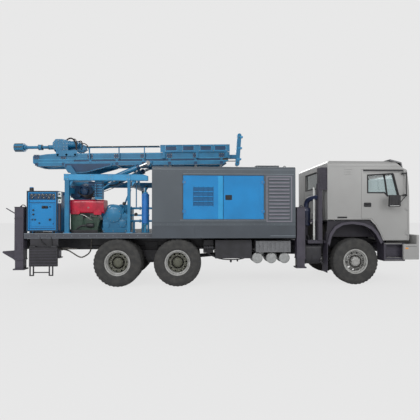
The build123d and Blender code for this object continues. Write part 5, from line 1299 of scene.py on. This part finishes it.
# %% [markdown]
# ## Gantry and winch
# The gantry is welded from square posts and deep beams. Its beams are a lighter blue than the mast,
# with bolted splice plates and stiffeners. Under it hangs the rope winch: a flanged drum wound with
# wire, a dark gearbox and a motor. The rope on the drum is drawn as separate turns.

# %% Gantry plates and winch
beam_blue = enamel("beam_blue_enamel", "#3494c6", "#2b84b3", 0.4, 0.3, 260)
for side_name, side in sides:
    beam = Shape(side).plate([(-6946, 2508), (-6946, 2633), (-5124, 2633), (-5010, 2600), (-5004, 2508)],
                             1173, 1178)
    for x in (-6880, -6300, -5880, -5446):
        beam.plate(rounded(x - 44, x + 44, 2500, 2642, 6), 1176, 1184)
    for x in (-6928, -5478):
        beam.plate(rounded(x - 24, x + 124, 1262, 1276, 4), 1060, 1196)
        beam.plate([(x + 100, 2494), (x + 100, 2380), (x + 108, 2374), (x + 190, 2494)], 1120, 1134)
    piece(f"gantry_plates_{side_name}", beam, beam_blue, "root", bevel=2)
    bolts = Shape(side)
    for x in (-6880, -6300, -5880, -5446):
        for dx, dz in ((-26, 30), (26, 30), (-26, 112), (26, 112)):
            bolts.bolt((x + dx, 1183, 2500 + dz), OUT, 8, 8)
    for x in (-6940, -6815, -5490, -5390):
        bolts.bolt((x, 1184, 1276), UP, 10, 9)
    piece(f"gantry_bolts_{side_name}", bolts, zinc_plate, "root", bevel=0)
winch = Shape()
for y in (-700, -540):
    winch.turned([(190, -8), (196, -4), (196, 4), (190, 8)], (-6600, y + 10, 2270), OUT, 40)
winch.box((-6930, -760, 2110), (-6700, -690, 2400))
winch.box((-6940, -560, 2080), (-6290, -548, 2494))
winch.turned([(90, 0), (96, 10), (96, 80), (80, 96), (40, 100), (0.5, 102)], (-6600, -700, 2270), RIGHT,
             32)
winch.turned([(62, 0), (66, 8), (66, 160), (54, 176), (0.5, 178)], (-6860, -620, 2200), FORWARD, 24)
winch.box((-6420, -1040, 2390), (-6270, -900, 2480))
for z in (2120, 2180, 2240, 2300, 2360, 2420):
    winch.box((-6262, -1092, z), (-6084, -1084, z + 30))
piece("winch_housing", winch, deep_blue, "root", bevel=3)
rope = Shape()
for i in range(12):
    rope.turned([(150, -5), (155, -3.5), (157, 0), (155, 3.5), (150, 5)], (-6600, -668 + 10.6 * i, 2270),
                OUT, 40)
rope.rod((-6460, -610, 2300), (-6405, -610, 2494), 6, 10)
piece("winch_rope", rope, worn_steel, "root", bevel=0)
levers = Shape()
for i in range(5):
    z = 2130 + 60 * i
    levers.tube([(-6200, -1090, z), (-6200, -1130, z + 10), (-6195, -1150, z + 34)], 6)
    levers.turned([(6, 0), (12, 8), (12, 20), (0.5, 26)], (-6195, -1148, z + 30), (0, -0.4, 1), 12)
piece("valve_levers", levers, black_plastic, "root", bevel=0)
lines = Shape()
for i, y in enumerate((-1050, -1020, -990, -960)):
    lines.tube([(-6258, y, 2130 + 50 * i), (-6310, y, 2130 + 50 * i), (-6360, y + 80, 2110 + 30 * i),
                (-6500, -780, 2100 + 20 * i), (-6700, -770, 2180), (-6760, -760, 2260)], 12)
lines.tube([(-6170, -900, 2400), (-6100, -820, 2430), (-5900, -620, 2420), (-5800, -430, 2500),
            (-5790, -360, 2650)], 14)
piece("valve_hoses", lines, hose_rubber, "root", bevel=0)
report_progress()

# %% [markdown]
# ## The mast
# The mast's chords are boxed sections, and wear strips, weld plates and bolts break up their long
# faces. The feed chain runs the whole length on each side over sprockets. A chain is a row of short
# plates, drawn at every second link, because a true pitch of 38 mm would hardly show.

# %% Mast rails, plates and bolts
rails, splice, bolts = Shape(), Shape(), Shape()
for _ in both_sides(bolts, rails, splice):
    rails.box((-7460, 262, 3262), (-2990, 300, 3272))
    rails.box((-7900, 327, 3112), (-2985, 333, 3124))
    rails.box((-7600, 327, 3244), (-2985, 333, 3256))
    rails.box((-7900, 327, 3036), (-3010, 333, 3048))
    for i in range(8):
        x = -7971 + 678.7 * i
        splice.plate(rounded(x - 40, x + 100, 3128, 3242, 8), 328, 336)
        splice.plate(rounded(x - 10, x + 70, 2962, 3030, 8), 328, 335)
        for dx in (-22, 30, 82):
            bolts.bolt((x + dx, 335, 3146), OUT, 8, 8)
            bolts.bolt((x + dx, 335, 3224), OUT, 8, 8)
    for x in (-4640, -4200, -3760, -3400, -3040):
        bolts.bolt((x, 380, 3296), OUT, 9, 8)
        bolts.bolt((x, 380, 3436), OUT, 9, 8)
    for dx, dz in ((-50, 0), (50, 0), (0, 50), (0, -50)):
        bolts.bolt((-7080 + dx, 424, 2880 + dz), OUT, 8, 6)
piece("mast_rails", laid(rails), pale_blue, "mast", bevel=1.5)
shade = Shape()
for _ in both_sides(shade):
    for i in range(7):
        x = -7971 + 678.7 * i
        shade.box((x + 62, 318, 3057), (x + 676, 324, 3103))
    shade.plate([(-7215, 2990), (-7215, 2940), (-7122, 2787), (-6684, 2787), (-6060, 2953),
                 (-6060, 2990)], 374, 379)
    for x in (-4500, -4050, -3600, -3220):
        shade.plate(rectangle(x - 139, x + 139, 3314, 3416), 362, 368)
piece("mast_shadow_plates", laid(shade), deep_blue, "mast", bevel=1)
piece("mast_splices", laid(splice), deep_blue, "mast", bevel=2)
piece("mast_bolts", laid(bolts), zinc_plate, "mast", bevel=0)
chain = Shape()
for _ in both_sides(chain):
    for row in (3082, 3094):
        for i in range(60):
            x = -7860 + 80 * i
            chain.box((x, 284, row - 5), (x + 56, 290, row + 5))
            chain.box((x + 40, 292, row - 4), (x + 96, 297, row + 4))
    for x in (-7870, -3080):
        chain.turned([(40, -14), (62, -12), (66, 0), (62, 12), (40, 14)], (x, 290, 3082), OUT, 20)
piece("feed_chain", laid(chain), worn_steel, "mast", bevel=0)
report_progress()

# %% [markdown]
# The crown carries the side boxes with their folded windows, and two sheaves for the hoist rope on
# the swung arm. The rope of the mast's own hoist runs along the mast, and the hoses lie on their
# rail, tied every few decimetres.

# %% Crown, sheaves and mast hoses
crown = Shape()
for _ in both_sides(crown):
    for x in (-4500, -4050, -3600, -3220):
        ring(crown, rectangle(x - 140, x + 140, 3313, 3417), 0, 12, 379, 384)
    crown.box((-4775, 356, 3449), (-2975, 392, 3456))
    crown.box((-4775, 356, 3272), (-2975, 392, 3279))
for z in (3100, 3400, 3700):
    crown.plate(rounded(-2760 + (z - 3000) * 0.09, -2640 + (z - 3000) * 0.09, z, z + 40, 6),
                -68, 68)
piece("crown_edges", laid(crown), beam_blue, "mast", bevel=2)
sheave = Shape()
for x, z in ((-2676, 3712), (-2736, 3030)):
    for y in (-40, 40):
        sheave.turned([(30, -16), (52, -16), (55, -12), (44, -3), (44, 3), (55, 12), (52, 16), (30, 16)],
                      (x, y, z), OUT, 32)
    sheave.turned([(16, -74), (16, 74)], (x, 0, z), OUT, 16)
piece("hoist_sheaves", laid(sheave), worn_steel, "mast", bevel=0)
hoses = Shape()
for i, (y, z) in enumerate(((-368, 3428), (-346, 3424), (-390, 3424))):
    hoses.tube([(-4800, y, z), (-5200, y, z + 2), (-5850, y, z - 2), (-6400, y, z + 2),
                (-6660, y, z)], 11)
for y, z in ((-300, 2976), (-278, 2976), (300, 2976), (278, 2976)):
    hoses.tube([(-6900, y, z + 60), (-6700, y, z + 4), (-6000, y, z), (-5000, y, z),
                (-3900, y, z), (-3300, y, z + 8)], 10)
piece("mast_hoses", laid(hoses), hose_rubber, "mast", bevel=0)
ties = Shape()
for x in (-6600, -6300, -6000, -5700, -5400, -5100, -4850):
    ties.plate(rounded(-404, -334, 3410, 3442, 8), x, x + 14, "x")
piece("hose_ties", laid(ties), zinc_plate, "mast", bevel=1)
ropes = Shape()
for y in (-40, 40):
    ropes.rod((-2730, y, 3086), (-2672, y, 3656), 7, 10)
    ropes.rod((-7300, y, 3075), (-2760, y, 3075), 6, 10)
piece("hoist_rope", laid(ropes), worn_steel, "mast", bevel=0)

# %% [markdown]
# ## The rotary head
# The head slides along the mast on its carriage and turns the drill string. It has a cast gearbox
# with a bolted cover, two hydraulic motors, a swivel with its hose and guide rollers. The cover
# bolts sit on a circle, and the castings are turned with soft shoulders.

# %% Head, motors and drill string
head = Shape()
head.turned([(118, 0), (126, 8), (126, 26), (110, 34)], (-7590, 0, 3494), FORWARD, 36)
head.turned([(60, 0), (66, 6), (66, 30), (52, 40)], (-7230, 0, 3600), FORWARD, 24)
for y in (-110, 110):
    head.turned([(70, 0), (92, 10), (92, 44), (84, 60), (84, 200), (90, 208), (90, 230), (70, 250),
                 (30, 256), (0.5, 258)], (-7196, y, 3544), FORWARD, 28)
for _ in both_sides(head):
    for x in (-7400, -7180, -6960):
        head.turned([(30, -8), (34, -4), (34, 6), (28, 10)], (x, 340, 3232), OUT, 20)
    head.plate([(-7440, 3346), (-7440, 3430), (-7400, 3440), (-7250, 3360), (-7250, 3346)], 196, 210)
head.plate([(-6946, 3350), (-6746, 3420), (-6746, 3440), (-6946, 3470)], -60, 60)
piece("head_castings", laid(head), rig_blue, "drill_head", bevel=2)
bolts = Shape()
for i in range(10):
    a = 2 * pi * i / 10
    bolts.bolt((-7598, cos(a) * 104, 3494 + sin(a) * 104), BACK, 9, 10)
for _ in both_sides(bolts):
    for x in (-7420, -7300, -7100, -6960):
        bolts.bolt((x, 300, 3344), UP, 10, 9)
    for z in (3400, 3470, 3560, 3630):
        for x in (-7540, -7440, -7300, -7220):
            if not (z == 3400 and x < -7400) and not (z == 3630 and x == -7540):
                bolts.bolt((x, 189, z), OUT, 8, 8)
piece("head_bolts", laid(bolts), zinc_plate, "drill_head", bevel=0)
feed = Shape()
for y in (-110, 110):
    feed.tube([(-6960, y, 3600), (-6880, y * 1.4, 3640), (-6800, y * 2.4, 3560),
               (-6790, y * 2.8, 3420), (-6800, y * 3.0, 3360)], 13)
    feed.tube([(-7060, y, 3625), (-7050, y * 1.5, 3690), (-6960, y * 2.2, 3640),
               (-6930, y * 2.6, 3420), (-6940, y * 2.8, 3350)], 11)
feed.tube([(-7300, 0, 3674), (-7240, 0, 3730), (-7120, -60, 3720), (-7000, -200, 3600),
           (-6940, -300, 3440), (-6930, -320, 3350)], 20)
piece("head_hoses", laid(feed), hose_rubber, "drill_head", bevel=0)
string = Shape()
for x, radius in ((-8395, 72), (-8022, 76), (-7930, 76), (-7764, 62), (-7644, 62)):
    string.turned([(radius - 6, 0), (radius, 3), (radius, 9), (radius - 6, 12)], (x, 0, 3494), FORWARD,
                  36)
for i in range(6):
    a = 2 * pi * i / 6
    string.loft([[at(x, cos(a + d) * r, 3494 + sin(a + d) * r) for d in (-0.16, 0.16)] +
                 [at(x, cos(a + d) * (r + 6), 3494 + sin(a + d) * (r + 6)) for d in (0.12, -0.12)]
                 for x, r in ((-8620, 108), (-8400, 108))])
piece("drill_string_rings", laid(string), worn_steel, "drill_string", bevel=1)
buttons = Shape()
for row, radius in enumerate((20, 52, 84)):
    count = 4 + 5 * row
    for i in range(count):
        a = 2 * pi * i / count
        buttons.turned([(9, 0), (9, 4), (6, 9), (0.5, 10.5)],
                       (-8626, cos(a) * radius, 3494 + sin(a) * radius), BACK, 10)
piece("bit_buttons", laid(buttons), brass, "drill_string", bevel=0)
report_progress()

# %% [markdown]
# The two raising cylinders stand in front of the mast's pivot. Their barrels have a screwed gland, a
# base cap and welded ports, and the rod is hard chromed. They ride on the barrel, so that they keep
# clear when the rod runs out.

# %% Raising cylinders
CYLINDER_Y = 450
base, eye = Vector((-6660, 0, 2340)), Vector((-5096, 0, 3015))
along = (eye - base).normalized()


def on_cylinder(distance, up=0):
    """A place along the raising cylinder's axis, and up from it."""
    spot = base + along * distance + Vector((-along.z, 0, along.x)) * up
    return (spot.x, CYLINDER_Y, spot.z)


for side_name, side in sides:
    collar = Shape(side)
    for start, radius, length in ((132, 72, 26), (1400, 74, 70), (700, 70, 16)):
        collar.turned([(radius - 8, 0), (radius, 5), (radius, length - 5), (radius - 8, length)],
                      on_cylinder(start), (along.x, 0, along.z), 32)
    for start in (200, 1340):
        collar.turned([(20, 0), (20, 26), (14, 30)], on_cylinder(start, 60), (-along.z, 0, along.x), 6)
    piece(f"cylinder_collars_{side_name}", collar, deep_blue, f"barrel_{side_name}",
          bevel=1)
    pipe = Shape(side).tube([on_cylinder(200, -88), on_cylinder(240, -104), on_cylinder(800, -100),
                             on_cylinder(1300, -104), on_cylinder(1340, -88)], 9)
    piece(f"cylinder_pipe_{side_name}", pipe, zinc_plate, f"barrel_{side_name}",
          bevel=0)
report_progress()

# %% [markdown]
# The studio is plain: a pale floor that keeps the machine's shadow, and soft light from two large
# lamps on the photographer's side and one behind. The camera stands where the photographer stood,
# about 9.5 m from the machine's middle and 1.7 m above the ground, and looks a little to the right
# and up.

# %% Floor, light and camera
floor_shape = Shape()
floor_shape.add([(-60, -40, 0), (60, -40, 0), (60, 60, 0), (-60, 60, 0)], [(0, 1, 2, 3)])
floor_mesh = bpy.data.meshes.new("studio_floor")
floor_shape.mesh.to_mesh(floor_mesh)
floor = bpy.data.objects.new("studio_floor", floor_mesh)
bpy.context.scene.collection.objects.link(floor)
floor_paint, tree, shader = start_material("studio_floor_paint", Roughness=0.9, **{
    "Specular IOR Level": 0.1})
tree.links.new(between(tree, noise(tree, 2500, 2.0), 0.3, 0.7, linear("#e9e9e9"),
                       linear("#e6e6e6")), shader.inputs["Base Color"])
# A studio floor is lit apart from the object: most of what the camera sees is that even light,
# and the rest is shaded paint, which keeps the machine's shadow
lit = add_node(tree, "ShaderNodeEmission", inputs={"Color": linear("#e8e8e8"), "Strength": 1.0})
eye_rays = add_node(tree, "ShaderNodeLightPath")
share = add_node(tree, "ShaderNodeMath", {"operation": "MULTIPLY"}, {
    0: eye_rays.outputs["Is Camera Ray"], 1: 0.88})
blend = add_node(tree, "ShaderNodeMixShader", inputs={0: share.outputs[0], 1: shader.outputs[0],
                                                      2: lit.outputs[0]})
output = next(n for n in tree.nodes if n.bl_idname == "ShaderNodeOutputMaterial")
tree.links.new(blend.outputs[0], output.inputs["Surface"])
floor_mesh.materials.append(floor_paint)

world = bpy.data.worlds.new("studio_world")
bpy.context.scene.world = world
world.use_nodes = True
tree = world.node_tree
tree.nodes.clear()
rays = add_node(tree, "ShaderNodeLightPath")
seen = add_node(tree, "ShaderNodeMath", {"operation": "MAXIMUM"}, {
    0: rays.outputs["Is Camera Ray"], 1: rays.outputs["Is Transmission Ray"]})
soft = add_node(tree, "ShaderNodeBackground", inputs={"Color": (1, 1, 1, 1), "Strength": 0.5})
pale = add_node(tree, "ShaderNodeBackground", inputs={"Color": linear("#e8e8e8"), "Strength": 1.0})
mixed = add_node(tree, "ShaderNodeMixShader", inputs={0: seen.outputs[0], 1: soft.outputs[0],
                                                      2: pale.outputs[0]})
add_node(tree, "ShaderNodeOutputWorld", inputs={"Surface": mixed.outputs[0]})


def lamp(name, place, target, size, watts):
    light = bpy.data.lights.new(name, "AREA")
    light.size, light.energy = size, watts
    holder = bpy.data.objects.new(name, light)
    holder.location = place
    holder.rotation_euler = (Vector(target) - Vector(place)).to_track_quat("-Z", "Y").to_euler()
    bpy.context.scene.collection.objects.link(holder)


lamp("key_lamp", (-6, -14, 10), (0, 0, 1.5), 7, 1000)
lamp("fill_lamp", (9, -12, 7), (0, 0, 1.5), 7, 400)
lamp("back_lamp", (2, 13, 9), (0, 0, 1.5), 8, 600)

CAMERA = at(-3895.3, -9546.3, 1703)
YAW, PITCH, FOCAL_PX, PHOTO_PX = 0.0433, 0.0121, 353.15, 420
camera_data = bpy.data.cameras.new("camera")
camera_data.sensor_width, camera_data.sensor_fit = 36, "HORIZONTAL"
camera_data.lens = 36 * FOCAL_PX / PHOTO_PX
camera = bpy.data.objects.new("camera", camera_data)
camera.location = CAMERA
look = Vector((sin(YAW) * cos(PITCH), cos(YAW) * cos(PITCH), sin(PITCH)))
camera.rotation_euler = look.to_track_quat("-Z", "Y").to_euler()
bpy.context.scene.collection.objects.link(camera)
bpy.context.scene.camera = camera
bpy.context.scene.view_settings.view_transform = "Standard"
print("lens", round(camera_data.lens, 2), "mm")
